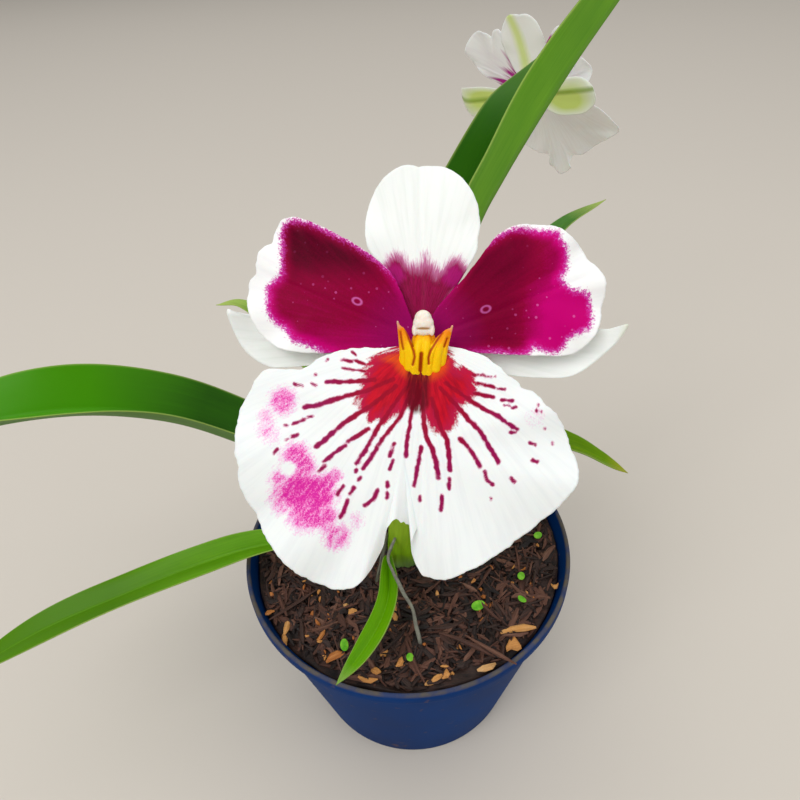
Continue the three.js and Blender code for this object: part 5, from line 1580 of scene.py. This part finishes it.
SHEATH_PATH = [(-6.4, -6.6, 86), (-7.2, -10, 84), (-7.9, -12.3, 82), (-8.9, -14.4, 79),
               (-10, -16, 75.5), (-11, -17, 71)]
SHEATH_LENGTH = 17
SHEATH_WIDTH = 1.5
SHEATH_THICKNESS = 0.22
SHEATH_NARROWED = 0.55
SHEATH_CUPPED = 0.35
SHEATH_STATIONS = 40
SHEATH_ACROSS = 9
SHEATH_GREY = "#4c4f43"
SHEATH_STRAW = "#858370"


def dead_sheath():
    """Papery dead leaf base: grey, streaked lengthwise with straw and quite matt."""
    finish, add, shader = new_finish("leaf_sheath_dead_papery", IOR=1.45, Roughness=0.8,
                                     Specular_IOR_Level=0.2)
    spot = add("Attribute", attribute_name="sheath_mm").outputs["Vector"]
    drawn = add("Mapping", spot, Scale=(0.2, 3.5, 1.0))
    fibre = add("TexNoise", drawn, Scale=1.0, Detail=4.0)
    colour = add("ValToRGB", fibre, stops=[(0.4, SHEATH_GREY), (0.68, SHEATH_STRAW)])
    ribs = add("Bump", Height=fibre, Strength=0.5, Distance=0.1 * MM)
    feed(shader, Base_Color=colour, Normal=ribs)
    return finish


sheath_line = along_line(SHEATH_PATH, SHEATH_STATIONS)
sheath_along = unit(np.gradient(sheath_line, axis=0))
sheath_side = unit(np.cross(sheath_along, (0.3, -1.0, 0.2)))
sheath_out = np.cross(sheath_along, sheath_side)
across = np.linspace(-1, 1, SHEATH_ACROSS)
length = np.linspace(0, SHEATH_LENGTH, SHEATH_STATIONS)[:, None]
half = (SHEATH_WIDTH / 2 * (1 - SHEATH_NARROWED * (length / SHEATH_LENGTH) ** 2)
        + 0.12 * np.sin(1.9 * length))
sheath_middle = (sheath_line[:, None] + sheath_side[:, None] * (half * across)[..., None]
                 + sheath_out[:, None] * (SHEATH_CUPPED * across ** 2)[None, :, None])
sheath_points = np.stack([sheath_middle + face * SHEATH_THICKNESS / 2 * sheath_out[:, None]
                          for face in (1, -1)]).reshape(-1, 3)
sheath_mm = np.stack(np.broadcast_arrays(length, half * across, 0.0), -1).reshape(-1, 3)
new_piece("dry_leaf_sheath", sheath_points, shell_faces(SHEATH_STATIONS, SHEATH_ACROSS),
          dead_sheath(), slot="leaf", marks={"sheath_mm": np.tile(sheath_mm, (2, 1))})

# Studio
# A plain pale floor, soft lights and the camera: none of it is part of the plant.

FLOOR_REACH = 9.0
FLOOR_PAPER = "#cfc8be"
ROOM_LIGHT = "#f2f1ee"
CAMERA_PLACE = (0.0011, -0.1331, 0.24275)
CAMERA_PITCH = 38.8
CAMERA_ROLL = -2.8
CAMERA_LENS = 27.18
CAMERA_SHIFT = -0.0044
LIGHTS = [
    ("soft_ceiling", (0.0, 0.6, 3.2), 5.0, 70.0),
    ("soft_window", (-0.6, -0.75, 1.2), 0.8, 9.0),
    ("soft_fill", (0.95, -0.45, 0.8), 0.9, 2.5),
]

floor_mesh = bpy.data.meshes.new("studio_floor")
floor_mesh.from_pydata([(x * FLOOR_REACH, y * FLOOR_REACH, 0)
                        for x, y in ((-1, -1), (1, -1), (1, 1), (-1, 1))], [], [(0, 1, 2, 3)])
floor_mesh.materials.append(
    new_finish("matt_paper_backdrop", Roughness=0.9, Base_Color=FLOOR_PAPER)[0])
floor = bpy.data.objects.new("studio_floor", floor_mesh)
bpy.context.scene.collection.objects.link(floor)

for name, place, size, power in LIGHTS:
    lamp = bpy.data.lights.new(name, "AREA")
    lamp.size = size
    lamp.energy = power
    stand = bpy.data.objects.new(name, lamp)
    stand.location = place
    stand.rotation_euler = (Vector((0, 0, 0.12)) - Vector(place)).to_track_quat("-Z", "Y").to_euler()
    bpy.context.scene.collection.objects.link(stand)

world = bpy.data.worlds.new("studio")
world.use_nodes = True
feed(world.node_tree.nodes["Background"], Color=ROOM_LIGHT, Strength=0.4)
bpy.context.scene.world = world
bpy.context.scene.view_settings.view_transform = "Standard"

lens = bpy.data.cameras.new("camera")
lens.lens = CAMERA_LENS
lens.sensor_width = 36.0
lens.shift_x = CAMERA_SHIFT
lens.clip_start = 0.01
camera = bpy.data.objects.new("camera", lens)
camera.matrix_world = (Matrix.Translation(CAMERA_PLACE)
                       @ Matrix.Rotation(math.radians(90 - CAMERA_PITCH), 4, "X")
                       @ Matrix.Rotation(math.radians(CAMERA_ROLL), 4, "Z"))
bpy.context.scene.collection.objects.link(camera)
bpy.context.scene.camera = camera
